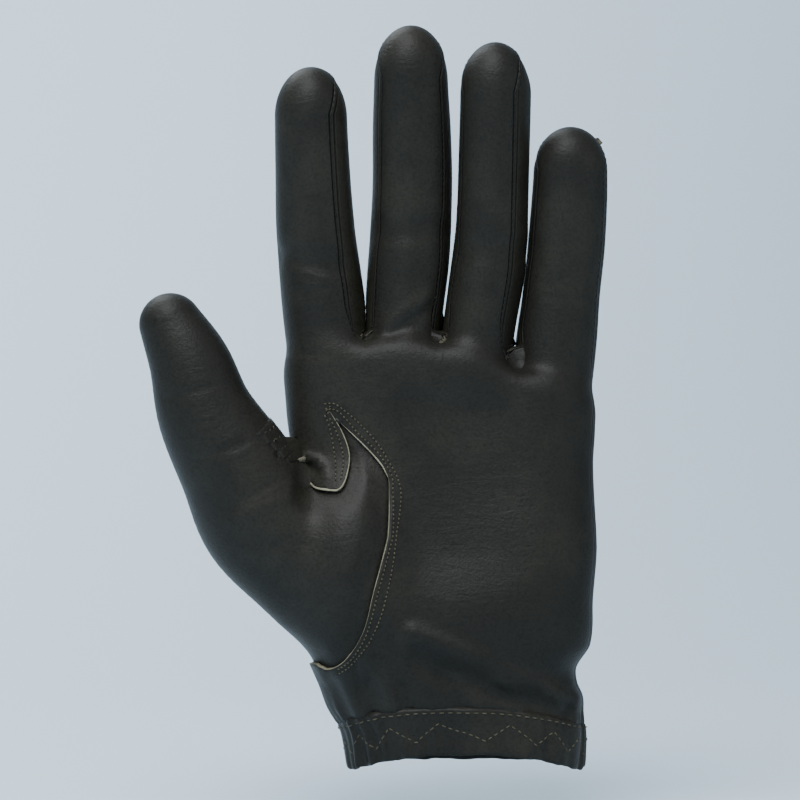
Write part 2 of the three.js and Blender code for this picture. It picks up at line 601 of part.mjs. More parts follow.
// One half of the main leather: the palm or the back of the hand with its sides of the fingers
function panelSheet(facing) {
  const sheet = new Sheet();
  const count = FINGERS.length * FINGER_COLUMNS;
  const feet = [];
  for (let c = 0; c <= count; c += 1) {
    const index = Math.min(Math.floor(c / FINGER_COLUMNS), FINGERS.length - 1);
    const across = ((c - index * FINGER_COLUMNS) / FINGER_COLUMNS) * 2 - 1;
    feet.push(fingerPoint(index, facing, across, 0));
  }
  const seamAtUlna = Math.acos(ULNAR_SEAM_SHARE ** (BODY_SQUARENESS / 2));
  const start = Math.PI;
  const end = -facing * seamAtUlna;
  const hemEdge = HEM_TOP + SEAM_GAP / 2;
  const rows = PALM_ROWS.map((share) => feet.map((foot, c) => {
    const evenly = mix(start, end, c / count);
    const s = bodySection(Math.min(foot.z, TOP_EDGE.left));
    const across = clamp((foot.x - s.x) / s.half, -1, 1);
    let atTop = Math.acos(signedPower(across, BODY_SQUARENESS / 2));
    if (c === count) atTop = end;
    const angle = mix(evenly, atTop, smooth(share));
    const z = mix(hemEdge + archAt(facing * evenly), foot.z, share);
    const guess = bodyPoint(z, facing * angle);
    if (c === 0) guess.y += (facing * SEAM_GAP) / 2;
    if (c === count) guess.y += (facing * SEAM_GAP) / 2;
    const footShare = smooth((share - FOOT_BLEND_FROM) / (1 - FOOT_BLEND_FROM));
    guess.lerp(new THREE.Vector3(foot.x, foot.y, z), footShare);
    return sheet.add(trankField, guess);
  }));
  sheet.grid(rows);
  FINGERS.forEach((finger, index) => {
    const first = rows[rows.length - 1].slice(index * FINGER_COLUMNS, (index + 1) * FINGER_COLUMNS + 1);
    const fingerRows = [first];
    for (const up of FINGER_ROWS.slice(1)) {
      fingerRows.push(first.map((unused, c) => {
        const across = (c / FINGER_COLUMNS) * 2 - 1;
        return sheet.add(trankField, fingerPoint(index, facing, across, up));
      }));
    }
    sheet.grid(fingerRows);
  });
  return sheet;
}

// How far the cutters reach: the thumb hole is cut on each side a little past the middle of the hand
const CUT_OUTER = 60;
const CUT_INNER = 10;

// A solid block behind an outline in front view, to cut the thumb hole
function holeCutter(outline, fromY, toY) {
  const shape = new THREE.Shape(outline.map((point) => new THREE.Vector2(point.x, -point.z)));
  const geometry = new THREE.ExtrudeGeometry(shape, { depth: toY - fromY, bevelEnabled: false });
  geometry.translate(0, 0, fromY);
  geometry.rotateX(-Math.PI / 2);
  return toManifold(geometry);
}

function panel(name, facing, outline, fromY, toY) {
  const sheet = panelSheet(facing);
  const cut = toManifold(sheet.solid(WALL)).subtract(holeCutter(outline, fromY, toY));
  const mesh = new THREE.Mesh(fromManifold(cut), LEATHER);
  mesh.name = name;
  return mesh;
}

// The strip between two fingers: down the side of one, round the web, and up the side of the next
const STRIP_TOP = 0.95;
const WEB_INSET = 0.2;
const WEB_RISE = 2.5;
const WEB_PULL = 0.6;
const CAP_LIMIT = 0.98;
const THIN_LIMIT = 0.4;
function sideStrip(index) {
  const sheet = new Sheet();
  const steps = FINGER_ROWS.filter((up) => up > 0 && up <= STRIP_TOP);
  const web = CROTCHES[index];
  const side = (finger, across, up, share) => {
    const palmEdge = fingerPoint(finger, -1, across, up);
    const backEdge = fingerPoint(finger, 1, across, up);
    const s = fingerSection(FINGERS[finger], palmEdge.z);
    const reach = FINGERS[finger];
    const cap = clamp((palmEdge.z - reach.cap) / (reach.tip - reach.cap), 0, CAP_LIMIT);
    const height = mix(palmEdge.z, backEdge.z, share);
    const thin = Math.sqrt(1 - cap * cap);
    const from = Math.atan2((palmEdge.y - s.y) / s.deep, ((palmEdge.x - s.x) / s.half) * across);
    const to = Math.atan2((backEdge.y - s.y) / s.deep, ((backEdge.x - s.x) / s.half) * across);
    const inset = SEAM_GAP / s.half / Math.max(thin, THIN_LIMIT);
    const angle = mix(from + inset, to - inset, share);
    const guess = new THREE.Vector3(
      s.x + across * s.half * thin * Math.cos(angle),
      s.y + s.deep * thin * Math.sin(angle),
      height,
    );
    return keepClear(finger, guess);
  };
  const shares = Array.from({ length: SIDE_STRIP_COLUMNS + 1 }, (unused, i) => i / SIDE_STRIP_COLUMNS);
  const webPoint = (share) => {
    const across = mix(WEB_INSET, 1 - WEB_INSET, share);
    const rise = SEAM_GAP + WEB_RISE * Math.sin(Math.PI * share);
    return new THREE.Vector3(web.x, mix(web.y, web.backY, across), mix(web.z, web.backZ, across) + rise);
  };
  const down = [...steps].reverse();
  const rows = [];
  for (const up of down) rows.push(shares.map((share) => side(index, 1, up, share)));
  const nearWeb = (finger, edge, share) => (
    mixPoints(side(finger, edge, steps[0], share), webPoint(share), WEB_PULL)
  );
  rows.push(shares.map((share) => nearWeb(index, 1, share)));
  rows.push(shares.map(webPoint));
  rows.push(shares.map((share) => nearWeb(index + 1, -1, share)));
  for (const up of steps) rows.push(shares.map((share) => side(index + 1, -1, up, share)));
  sheet.grid(rows.map((row) => row.map((guess) => sheet.add(trankField, guess))));
  const mesh = new THREE.Mesh(sheet.solid(WALL), STRIP_LEATHER);
  mesh.name = `fourchette_${FINGERS[index].name}_${FINGERS[index + 1].name}`;
  return mesh;
}

// Reads the closed seam table at any share of the way round
function seamAt(share) {
  const count = THUMB_SEAM.length;
  const at = share * count;
  const i = Math.floor(at) % count;
  const t = at - Math.floor(at);
  const row = (k) => THUMB_SEAM[(i + k + count) % count];
  const [a, b, c, d] = [row(-1), row(0), row(1), row(2)];
  const curve = (p, q, r, s) => (
    q + 0.5 * t * (r - p + t * (2 * p - 5 * q + 4 * r - s + t * (3 * (q - r) + s - p)))
  );
  const turnB = b.turn;
  const turnC = c.turn < b.turn ? c.turn + 360 : c.turn;
  const lean = { palm: -1, side: 0, back: 1 };
  return {
    edgeX: curve(a.edgeX, b.edgeX, c.edgeX, d.edgeX),
    edgeZ: curve(a.edgeZ, b.edgeZ, c.edgeZ, d.edgeZ),
    lapX: curve(a.lapX, b.lapX, c.lapX, d.lapX),
    lapZ: curve(a.lapZ, b.lapZ, c.lapZ, d.lapZ),
    lean: mix(lean[b.face], lean[c.face], t),
    turn: THREE.MathUtils.degToRad(mix(turnB, turnC, t)),
  };
}

// A guess on the palm or back of the body at a place in front view
function onBody(x, z, lean) {
  const s = bodySection(z);
  const across = clamp(Math.abs(x - s.x) / s.half, 0, 1);
  const rise = (1 - across ** BODY_SQUARENESS) ** (1 / BODY_SQUARENESS);
  return new THREE.Vector3(x, s.y + lean * s.deep * rise, z);
}

function ribPoint(rib, turn) {
  const middle = new THREE.Vector3((rib.outerX + rib.innerX) / 2, rib.y, (rib.outerZ + rib.innerZ) / 2);
  const toInner = new THREE.Vector3((rib.innerX - rib.outerX) / 2, 0, (rib.innerZ - rib.outerZ) / 2);
  middle.y -= rib.deep * Math.sin(turn);
  return middle.addScaledVector(toInner, Math.cos(turn));
}

// The thumb leather, in a palm half and a back half that meet along the thumb's two sides: from under the palm
// leather, out over the mound, to the closed tip. The seam table's side row splits it.
const LAP_ROWS = [0, 0.35, 0.7, 1];
const TIP_RINGS = [0.45, 0.75, 0.93];
const HALF_APART = 0.25;
const SPLIT_SHARE = THUMB_SEAM.findIndex((row) => row.turn === 180) / THUMB_SEAM.length;
// Rows from the lap out to the first rib: share of the way, how much of the whole hand's surface, and the
// depth under it
const RISING_ROWS = [
  { share: 0.2, blend: 0.8, drop: 0.9 },
  { share: 0.42, blend: 1, drop: 0.3 },
  { share: 0.7, blend: 1, drop: 0 },
];
function thumbHalf(name, facing, columns) {
  const sheet = new Sheet();
  const from = facing < 0 ? 0 : SPLIT_SHARE;
  const to = facing < 0 ? SPLIT_SHARE : 1;
  const seams = Array.from({ length: columns + 1 }, (unused, c) => seamAt(mix(from, to, c / columns)));
  const aside = facing * HALF_APART;
  const row = (field, drop, place) => seams.map((seam, c) => {
    const guess = place(seam);
    if (c === 0 || c === columns) guess.y += aside;
    return sheet.add(field, guess, drop);
  });
  const blended = (share) => (p) => mix(trankField(p), handField(p), share);
  const rows = LAP_ROWS.map((share) => row(trankField, LAP_DROP, (seam) => (
    onBody(mix(seam.lapX, seam.edgeX, share), mix(seam.lapZ, seam.edgeZ, share), seam.lean)
  )));
  const [first] = THUMB_RIBS;
  for (const { share, blend, drop } of RISING_ROWS) {
    rows.push(row(blended(blend), drop, (seam) => (
      mixPoints(onBody(seam.edgeX, seam.edgeZ, seam.lean), ribPoint(first, seam.turn), share)
    )));
  }
  for (const rib of THUMB_RIBS) rows.push(row(handField, 0, (seam) => ribPoint(rib, seam.turn)));
  const last = THUMB_RIBS[THUMB_RIBS.length - 1];
  const tip = new THREE.Vector3(THUMB_TIP.x, THUMB_TIP.y, THUMB_TIP.z);
  const middleX = (last.outerX + last.innerX) / 2;
  const middleZ = (last.outerZ + last.innerZ) / 2;
  const middle = new THREE.Vector3(middleX, last.y, middleZ);
  for (const up of TIP_RINGS) {
    const shrink = Math.sqrt(1 - up * up);
    rows.push(row(handField, 0, (seam) => {
      const out = ribPoint(last, seam.turn).sub(middle).multiplyScalar(shrink);
      return mixPoints(middle, tip, up).add(out);
    }));
  }
  tip.y += aside;
  const pole = sheet.add(handField, tip);
  rows.push(seams.map(() => pole));
  sheet.grid(rows);
  const mesh = new THREE.Mesh(sheet.solid(WALL), LEATHER);
  mesh.name = name;
  return mesh;
}

// The gathered wrist hem: a folded band with its profile carried round the wrist
const HEM_PROFILE = [
  { up: 1.0, depth: 0 },
  { up: 0.62, depth: -0.5 },
  { up: 0.25, depth: -0.3 },
  { up: 0.05, depth: 0.1 },
  { up: 0.0, depth: 0.8 },
  { up: 0.08, depth: 1.7 },
  { up: 0.5, depth: 2.0 },
  { up: 1.0, depth: 2.0 },
];
function hemMesh() {
  const points = [];
  const triangles = [];
  const rings = HEM_PROFILE.length;
  for (let c = 0; c < HEM_COLUMNS; c += 1) {
    const turn = (c / HEM_COLUMNS) * 2 * Math.PI;
    const wave = HEM_WAVE_HEIGHT * Math.cos(HEM_WAVES * turn);
    for (const { up, depth } of HEM_PROFILE) {
      const z = mix(HEM_BOTTOM, HEM_TOP - SEAM_GAP / 2, up) + archAt(turn);
      const guess = bodyPoint(z, turn);
      const p = settle(trankField, guess);
      const normal = gradient(trankField, p).normalize();
      const out = HEM_PROUD * (1 - up) - depth + wave * (1 - HEM_WAVE_FADE * up);
      points.push(p.addScaledVector(normal, out));
    }
  }
  for (let c = 0; c < HEM_COLUMNS; c += 1) {
    const next = (c + 1) % HEM_COLUMNS;
    for (let r = 0; r < rings; r += 1) {
      const after = (r + 1) % rings;
      const [a, b] = [c * rings + r, next * rings + r];
      const [d, e] = [c * rings + after, next * rings + after];
      triangles.push([a, b, d], [b, e, d]);
    }
  }
  const mesh = new THREE.Mesh(geometryOf(points, triangles), HEM_LEATHER);
  mesh.name = 'wrist_hem';
  return mesh;
}

const glove = new THREE.Group();
glove.add(panel('palm_panel', -1, PALM_HOLE, -CUT_OUTER, CUT_INNER));
glove.add(panel('back_panel', 1, BACK_HOLE, -CUT_INNER, CUT_OUTER));
CROTCHES.forEach((unused, index) => glove.add(sideStrip(index)));
glove.add(thumbHalf('thumb_palm_half', -1, THUMB_PALM_COLUMNS));
glove.add(thumbHalf('thumb_back_half', 1, THUMB_BACK_COLUMNS));
glove.add(hemMesh());

export default glove;
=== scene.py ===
"""A left-hand leather driving glove, held in the form of the hand that wears it.

The shapes are worked out in millimetres and put into the meshes in metres. Every piece of leather is a grid
of points laid near the hand's surface, moved onto that surface, and given its wall by a Solidify modifier.
"""

import math

import bpy
import numpy as np
from bpy.props import FloatProperty, FloatVectorProperty, PointerProperty
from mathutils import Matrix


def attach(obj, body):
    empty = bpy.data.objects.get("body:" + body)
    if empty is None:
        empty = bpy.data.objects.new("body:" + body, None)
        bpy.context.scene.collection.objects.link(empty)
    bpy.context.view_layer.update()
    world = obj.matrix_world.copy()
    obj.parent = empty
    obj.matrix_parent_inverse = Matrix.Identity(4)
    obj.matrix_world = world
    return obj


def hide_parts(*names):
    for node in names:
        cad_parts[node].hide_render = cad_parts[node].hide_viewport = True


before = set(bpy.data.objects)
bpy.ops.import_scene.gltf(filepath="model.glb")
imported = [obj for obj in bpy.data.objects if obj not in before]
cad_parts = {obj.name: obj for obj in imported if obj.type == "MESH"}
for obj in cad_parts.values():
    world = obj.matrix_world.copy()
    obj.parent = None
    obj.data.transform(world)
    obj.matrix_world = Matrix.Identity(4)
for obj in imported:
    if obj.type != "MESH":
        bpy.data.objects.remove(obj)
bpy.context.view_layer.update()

bl_info = {
    "name": "Driving Glove",
    "version": (1, 0, 0),
    "blender": (4, 5, 0),
    "location": "3D View > Sidebar > Driving Glove",
    "description": "Builds a stitched leather driving glove round its packed frame",
    "category": "Object",
}

MM = 0.001
BODY = "root"

# Wrist and palm, a row for each height: outer edges seen from the palm, and the palm and back surfaces
WRIST_AND_PALM = dict(
    z=[-8, 2, 9, 16, 26, 33, 46, 60, 78, 96, 111, 120],
    left=[-31.5, -32.3, -34.0, -38.0, -41.0, -42.5, -44.5, -46.3, -47.4, -48.4, -49.2, -49.6],
    right=[32.0, 32.4, 33.0, 32.5, 30.7, 34.6, 35.3, 35.9, 35.4, 35.6, 36.5, 36.8],
    palm=[-20.5, -20.5, -20.0, -20.5, -21.5, -22.5, -22.0, -19.0, -15.5, -13.5, -12.5, -12.0],
    back=[21.5, 21.5, 21.0, 20.5, 19.5, 18.8, 17.8, 17.0, 16.5, 16.5, 15.5, 14.5],
)
SQUARENESS = 2.5

# Fingers: height, centre line, half width and half depth; seams as shares of the half width
FINGERS = [
    dict(name="index", tip=190.6, cap=177.0, palm_seams=(1.0, 0.60), back_seams=(1.0, 0.75),
         z=[98, 121.6, 134.8, 148, 161, 178, 192], x=[-36.6, -38.2, -39.5, -40.7, -41.3, -41.8, -41.8],
         y=[1.5, 1.2, 0.6, -0.4, -1.8, -4.0, -5.4], half=[10.2, 11.55, 11.4, 11.0, 10.5, 10.1, 10.1],
         deep=[11.0, 11.3, 10.9, 10.5, 10.1, 9.3, 9.0]),
    dict(name="middle", tip=202.0, cap=187.0, palm_seams=(0.82, 0.82), back_seams=(0.75, 0.75),
         z=[98, 118, 138, 158, 174, 188, 203], x=[-17.8, -16.9, -15.3, -14.3, -14.4, -14.6, -14.6],
         y=[2.5, 2.4, 2.0, 1.2, -0.6, -3.0, -5.0], half=[10.6, 10.6, 11.4, 11.3, 11.1, 10.5, 10.5],
         deep=[11.6, 11.3, 11.0, 10.6, 10.2, 9.4, 9.0]),
    dict(name="ring", tip=197.2, cap=183.0, palm_seams=(0.93, 0.60), back_seams=(0.75, 0.75),
         z=[96, 114, 138, 151, 166, 183, 198], x=[2.5, 3.5, 6.9, 7.7, 8.1, 8.4, 8.4],
         y=[0.4, 0.2, -0.6, -1.8, -3.4, -5.2, -6.8], half=[9.9, 10.0, 10.45, 9.95, 9.9, 9.9, 9.9],
         deep=[11.2, 10.9, 10.6, 10.2, 9.7, 9.1, 8.8]),
    dict(name="little", tip=174.4, cap=162.0, palm_seams=(0.92, 0.92), back_seams=(0.75, 0.92),
         z=[92, 115, 128, 141, 155, 163, 175], x=[23.6, 25.4, 26.7, 28.05, 28.9, 29.1, 29.1],
         y=[2.2, 2.0, 1.6, 0.8, -0.8, -2.0, -3.6], half=[10.4, 11.2, 10.75, 10.7, 10.45, 10.2, 10.2],
         deep=[10.6, 10.6, 10.2, 9.8, 9.4, 9.0, 8.8]),
]
FINGER_ROOT = 12.0
FINGER_GAP = 0.16

# The foot of each slit between two fingers: place across, then height and depth on the palm side and the back
SLIT_FEET = [(-28.05, 116.6, -7.5, 110.6, 10.5), (-6.6, 118.2, -7.5, 112.0, 10.5),
             (13.2, 111.4, -7.5, 105.6, 10.0)]
SIDE_FOOT_LEFT = 116.6
SIDE_FOOT_RIGHT = 108.5
WEB_TOP = dict(x=[-52, -28, -6.6, 13.2, 38], z=[113, 116.4, 115.6, 109.0, 102])
WEB_SLOPE = 0.24
ULNAR_SEAM_SHARE = 0.985
SEAM_FLARE = 9.0

# How softly the forms run into each other
FINGER_BLEND = 5.0
THUMB_BLEND = 6.0
WEB_BLEND = 3.0
THENAR_BLEND = 10.0
TOP_ROUNDING = 6.0

# Thumb: balls (x, y, z, radius) along its bones, the web, and the mound at its root with its three radii
THUMB_BALLS = np.array([
    (-34.8, -5, 42.9, 13.9), (-45.6, -6.8, 54.7, 15.2), (-55.4, -8, 66.7, 16.6), (-61.9, -9, 80.3, 15.5),
    (-70.2, -9.7, 95.4, 13.2), (-74.5, -10, 109.1, 11.1), (-79.9, -9.5, 120.1, 8.6),
])
THUMB_WEB = [(-65.7, -8, 94.1, 7.8), (-42.0, -2, 68.0, 8.6)]
THUMB_FLATNESS = 1.15
THUMB_DEPTH = -8.0
THENAR = (-31.0, -8.0, 52.0, 15.0, 16.0, 26.0)

# Ribs of the thumb: outer x and z, inner x and z, y, half depth
THUMB_RIBS = [(-64, 54, -49.4, 87.4, -8, 14), (-75, 71.5, -50.6, 89.8, -8, 13.5),
              (-81, 84, -52.5, 93, -9, 12.5),
              (-84, 93, -56.5, 98.5, -9.5, 11.7), (-85.5, 101.5, -60, 105, -10, 11.3),
              (-87, 110, -63.5, 112.5, -10, 10.5), (-88.9, 118.5, -68.5, 120, -9.6, 9.4)]
THUMB_TIP = (-80.4, -9.5, 128.8)

# The lapped thumb seam once round: side (-1 palm, 0 edge, 1 back), edge x and z, hidden lap x and z,
# and turn in degrees
THUMB_SEAM = np.array([
    (0, -48.2, 89.6, -48.2, 94.5, 0), (-1, -43.2, 76, -44.5, 95, 52), (-1, -37.5, 73, -41, 99.5, 68),
    (-1, -32.4, 72.8, -36.5, 102.5, 78), (-1, -29, 74.5, -31, 97.5, 86), (-1, -25.8, 77, -23.5, 89, 92),
    (-1, -22.4, 73, -17.8, 79, 98), (-1, -21.8, 65, -17.2, 65, 107), (-1, -25, 50, -20.8, 49, 124),
    (-1, -30, 36, -26, 33, 143), (-1, -35.5, 30, -33, 24.5, 160), (0, -41.5, 31, -41.5, 25, 180),
    (1, -37, 35, -34, 30, 205), (1, -32, 44, -27.5, 42, 235), (1, -30.5, 55, -26.5, 55.5, 270),
    (1, -33, 67, -29.5, 70, 305), (1, -41, 79, -39.5, 85.5, 335),
])
LAP_DROP = 1.25


def shown(*points):
    """Places in front view from the picture's own steps of 0.275 mm, right and down from its corner."""
    return [((x - 464) * 0.275, (762 - y) * 0.275) for x, y in points]


# The cut edge of the thumb hole, from the outer side of the hand round the tab and the point, and on the back
TAB_EDGE = shown((299.5, 466), (303, 473), (308, 480), (315, 486.6), (325, 489), (337, 489.6), (342.8, 484.5),
                 (346.8, 474), (349.3, 459), (347.8, 447), (341.6, 431), (336, 421), (330, 411.5))
RIGHT_EDGE = shown((335.5, 417.5), (342, 424), (350, 431.5), (362, 443), (374.5, 456), (382.5, 466),
                   (388.6, 478))
PALM_HOLE = [(-75, 83.0), (-60, 83.0), (-49.2, 82.8), (-46.8, 82.4), *TAB_EDGE, *RIGHT_EDGE,
             *shown((389.4, 492), (389.6, 511), (388.6, 535), (385.6, 549), (380, 570), (373, 596),
                    (366, 625), (358, 643), (346, 659.5), (335.5, 667.5), (325, 669.5), (314, 664)),
             (-60, 29.5), (-75, 29.5)]
BACK_HOLE = [(-75, 83.0), (-60, 83.0), (-49.2, 82.8), (-40, 79.5), (-33, 73), (-29.6, 62.5), (-29.2, 52),
             (-31.2, 41.5), (-35.6, 33.5), (-41.2, 27.0), (-60, 29.5), (-75, 29.5)]
# Past this the thumb stands clear of the hand
HAND_SIDE = -48.9
# How far from the cut edge the thumb leather takes to rise: most places, and at the web with the web's middle
RISE = 10.0
WEB_RISE = 2.4
WEB_MIDDLE = (-47.5, 85.0)
# Where the thumb's web passes in front of the palm leather: a line from the hand's side to the tab's edge
WEB_LINE = ((-48.4, 87.4), (-44.3, 78.9))
WEB_CORNER = (-47.0, 87.0)
# The web's own piece: from where to where along its bar, how many degrees to each side, how deep its border
# dips and how far it stands proud, how wide the dip is along the bar and in degrees
WEB_PART = (0.12, 0.80)
WEB_TURN = 100
WEB_DIP = 2.0
WEB_PROUD = 0.3
WEB_FADE = 0.12
WEB_FADE_TURN = 25
# Below this height it goes this far under the thumb leather that still rises out of its lap
WEB_LOW = 83.0
WEB_LOW_DROP = 3.0
# How high the thumb leather may stand over the palm's surface left of the web's line
WEB_LIMIT = 9.0

# Rows of stitches on the palm side, and the cut edge's pale line: shares along it, and half its width
PALM_STITCH_ROWS = [
    shown((324, 414), (328, 422), (331, 433), (333.5, 447), (335.5, 462), (335.5, 480)),
    shown((329, 417), (333.5, 425), (338, 436), (342, 449), (343.5, 462), (341, 479)),
    shown((323, 404), (334, 403.5), (345, 411), (358, 422), (374, 439), (382, 450), (389, 462), (395, 472),
          (399, 482), (401, 494), (400, 511), (397, 531), (393, 564), (386.5, 596), (380, 619), (370, 641),
          (360, 655), (348, 668), (338, 674)),
    shown((327, 409), (336, 410), (346, 419), (356, 431), (366, 440.5), (377.5, 452), (385.5, 463.5),
          (392, 476), (393, 492), (393.5, 511), (393, 535), (390, 548), (384, 571), (377, 597), (369.5, 626),
          (361.5, 645), (349, 662), (337, 670)),
    shown((325, 407), (329, 412), (326, 411), (331, 406), (327, 415)),
]
TAB_WIDTHS = [(0, 0.25), (0.08, 0.36), (0.33, 0.40), (0.42, 0.24), (0.7, 0.17), (0.95, 0.12), (1, 0.05)]
RIGHT_WIDTHS = [(0, 0.05), (0.2, 0.08), (0.35, 0.2), (0.8, 0.24), (0.95, 0.15), (1, 0.05)]

# Folds: x1, z1, x2, z2, height (negative is a valley), width, side (-1 palm, 1 back)
FOLDS = [
    (-14, 36.5, 11, 24.2, 1.3, 3.2, -1), (11, 24.2, 30, 18, 1.3, 2.8, -1), (-12, 30, 26, 15, -1.8, 3.4, -1),
    (-26, 23, -23, 12, -1.3, 2.2, -1), (-17, 22, -14.5, 12, -1.2, 2.2, -1), (-6.5, 25, 2, 13, -1.2, 2.6, -1),
    (-21.5, 23, -19, 13, 0.6, 2.0, -1), (-36, 22, -32, 13, -1.0, 2.4, -1),
    (-4, 62, 0, 88, -1.8, 17, -1), (-18, 104, -2, 106, 0.9, 9, -1), (22, 98, 28, 60, 1.3, 10, -1),
    (-50, 139, -34, 136, -0.7, 3.0, -1), (-25, 146, -6, 146, -0.5, 3.5, -1),
    (-1, 140, 15, 140, -0.5, 3.5, -1),
    (-37, 108, -37, 111, 1.6, 9, 1), (-16, 111, -16, 114, 1.8, 9, 1), (4, 106, 4, 109, 1.5, 9, 1),
    (24, 98, 24, 101, 1.4, 9, 1),
]
# Finer creases in the same columns
CREASES = [
    (-46, 141.5, -36, 139.5, -0.28, 0.9, -1), (-47, 137.2, -35, 134.4, -0.32, 0.9, -1),
    (-49, 133.6, -40, 132.6, -0.2, 0.8, -1), (-48, 147.4, -41, 146.8, -0.16, 0.8, -1),
    (-48, 129.2, -37, 130.4, -0.16, 0.8, -1), (-47, 113.6, -37, 111.4, -0.18, 0.9, -1),
    (-49, 112.0, -42, 111.6, -0.2, 0.9, -1), (-10, 128.0, -22, 119.8, 0.5, 1.9, -1),
    (-9, 125.0, -20, 117.4, -0.45, 1.7, -1), (-24, 149.5, -7, 149.0, -0.18, 1.0, -1),
    (-22, 143.8, -9, 144.4, -0.16, 1.0, -1), (1, 142.6, 14, 143.0, -0.16, 1.0, -1),
    (22, 131.5, 35, 131.0, -0.2, 1.2, -1), (22, 128.0, 34, 127.2, -0.15, 1.0, -1),
    (-18.5, 106.8, -21.5, 102.8, -0.22, 0.7, -1), (-14, 99.6, 9, 96.0, -0.5, 4.2, -1),
    (-14, 36.6, 31, 18.6, 0.35, 1.6, -1), (-12, 32.0, 29, 15.4, -0.4, 1.6, -1),
    (-46.0, 83.0, -43.4, 83.8, 0.95, 1.15, -1), (-43.4, 83.8, -40.9, 83.4, 0.75, 1.15, -1),
    (-40.9, 83.4, -39.2, 81.9, 0.6, 1.15, -1), (-39.2, 81.9, -38.4, 79.0, 0.5, 1.2, -1),
    (-45.6, 81.3, -42.0, 81.2, -0.9, 0.95, -1), (-42.0, 81.2, -40.5, 79.9, -0.6, 0.95, -1),
    (-37.2, 98.0, -34.0, 92.4, -0.35, 0.7, -1), (-30, 27.5, -28, 17.5, -0.5, 1.2, -1),
    (-27, 30.0, -20, 18.0, 0.35, 1.3, -1), (-21.5, 25.0, -18.5, 17.0, 0.3, 1.1, -1),
    (-12, 24.5, -9, 17.5, -0.35, 1.2, -1), (4, 22.0, 9, 17.0, -0.35, 1.2, -1),
    (12, 21.0, 16, 15.0, 0.35, 1.3, -1),
    (20, 19.0, 22, 13.0, -0.4, 1.2, -1), (25, 19.0, 27, 12.0, 0.3, 1.2, -1),
]

HEM_TOP = 10.6
HEM_BOTTOM = -1.5
HEM_ARCH = 6.0
HEM_PUCKERS = 46
HEM_FOLD = 4.12
HEM_FACE = 0.22
HEM_PROUD = 0.3
# The trank's lower edge runs on this far under the hem's top edge, and this deep
TUCK_LENGTH = 1.6
TUCK_DEPTH = 0.9
# The hem's folded profile: height as a share of the band, and depth under its face
HEM_PROFILE = [(1.06, 1.3), (1.03, 0.55), (1.0, 0.16), (0.96, 0.0), (0.8, -0.1), (0.62, -0.2), (0.4, -0.2),
               (0.2, -0.15), (0.06, 0.05), (0.0, 0.5), (-0.01, 0.9), (0.03, 1.45), (0.12, 1.8),
               (0.5, 2.0), (1.0, 2.0)]
ZIGZAG_TURNS = 15

# Creases of the thumb, in front view: x1, z1, x2, z2, height, width
THUMB_CREASES = [(-66, 69, -50, 78, -0.35, 1.6), (-64, 66, -48, 73, 0.3, 1.6), (-75, 82, -60, 88, -0.25, 1.4),
                 (-58, 60, -44, 60, -0.3, 2.0), (-82, 100, -66, 104, -0.2, 1.3)]

# The eye of the front view, and how tall its picture is at the glove
EYE_X, EYE_Z = -17.6, 99.6
EYE_DISTANCE = 800.0
VIEW_HEIGHT = 220.0

# Steps of the grids, and far enough from a seam not to show it
FAR = 12.0
CAP_START = 0.68
TIP_CLOSING = 0.8
FINGER_COLUMNS_FINE = 28
PALM_ROWS = 118
FINGER_ROWS = 88
CAP_ROWS = 30
STRIP_COLUMNS = 22
STRIP_ROWS = 96
STRIP_TOP = 0.992
STRIP_FOOT = 0.05
STRIP_TUCK = 0.5
STRIP_DROP = 0.38
SLIT_DROP = 0.06
WEB_ROWS = 12
THUMB_COLUMNS_FINE = 116
THUMB_ROWS = 170
BACK_SEAM_SHARE = 0.97
HEM_COLUMNS = 520
GROOVE_AT = 1.1


def cubic_through(keys, values, at):
    """A cubic through the table's rows, each slope taken from its neighbours, held level past the ends."""
    k, v = np.asarray(keys, float), np.asarray(values, float)
    slope = np.empty_like(v)
    slope[1:-1] = (v[2:] - v[:-2]) / (k[2:] - k[:-2])
    slope[0], slope[-1] = (v[1] - v[0]) / (k[1] - k[0]), (v[-1] - v[-2]) / (k[-1] - k[-2])
    at = np.clip(at, k[0], k[-1])
    i = np.clip(np.searchsorted(k, at, side="right") - 1, 0, len(k) - 2)
    span = k[i + 1] - k[i]
    t = (at - k[i]) / span
    return ((2 * t**3 - 3 * t**2 + 1) * v[i] + (t**3 - 2 * t**2 + t) * span * slope[i]
            + (3 * t**2 - 2 * t**3) * v[i + 1] + (t**3 - t**2) * span * slope[i + 1])


# Every column is read from a fine ruler of heights, so that a whole grid is looked up at once
RULER_START = -60.0
RULER_STEP = 0.1
RULER = RULER_START + RULER_STEP * np.arange(3200)


def ruled(keys, values):
    """The cubic through a column, sampled along the ruler."""
    return cubic_through(keys, values, RULER)


BODY_COLUMNS = {name: ruled(WRIST_AND_PALM["z"], WRIST_AND_PALM[name])
                for name in ("left", "right", "palm", "back")}
FINGER_COLUMNS = [{name: ruled(f["z"], f[name]) for name in ("x", "y", "half", "deep")} for f in FINGERS]
THUMB_CHAIN = np.stack([cubic_through(np.arange(7), THUMB_BALLS[:, k], np.linspace(0, 6, 43))
                        for k in range(4)], -1)
WEB_COLUMN = ruled(WEB_TOP["x"], WEB_TOP["z"])


def read(column, at):
    """A column's value at each height, by straight steps of the ruler."""
    place = np.clip((at - RULER_START) / RULER_STEP, 0, len(RULER) - 1.001)
    low = place.astype(np.int32)
    share = place - low
    return column[low] * (1 - share) + column[low + 1] * share


def smooth(t):
    """0 below 0, 1 above 1, and an S between."""
    s = np.clip(t, 0.0, 1.0)
    return s * s * (3.0 - 2.0 * s)


def soft_min(a, b, blend):
    """The lower of two fields, rounded over a width of blend."""
    h = np.maximum(blend - np.abs(a - b), 0.0) / blend
    return np.minimum(a, b) - h * h * blend / 4.0


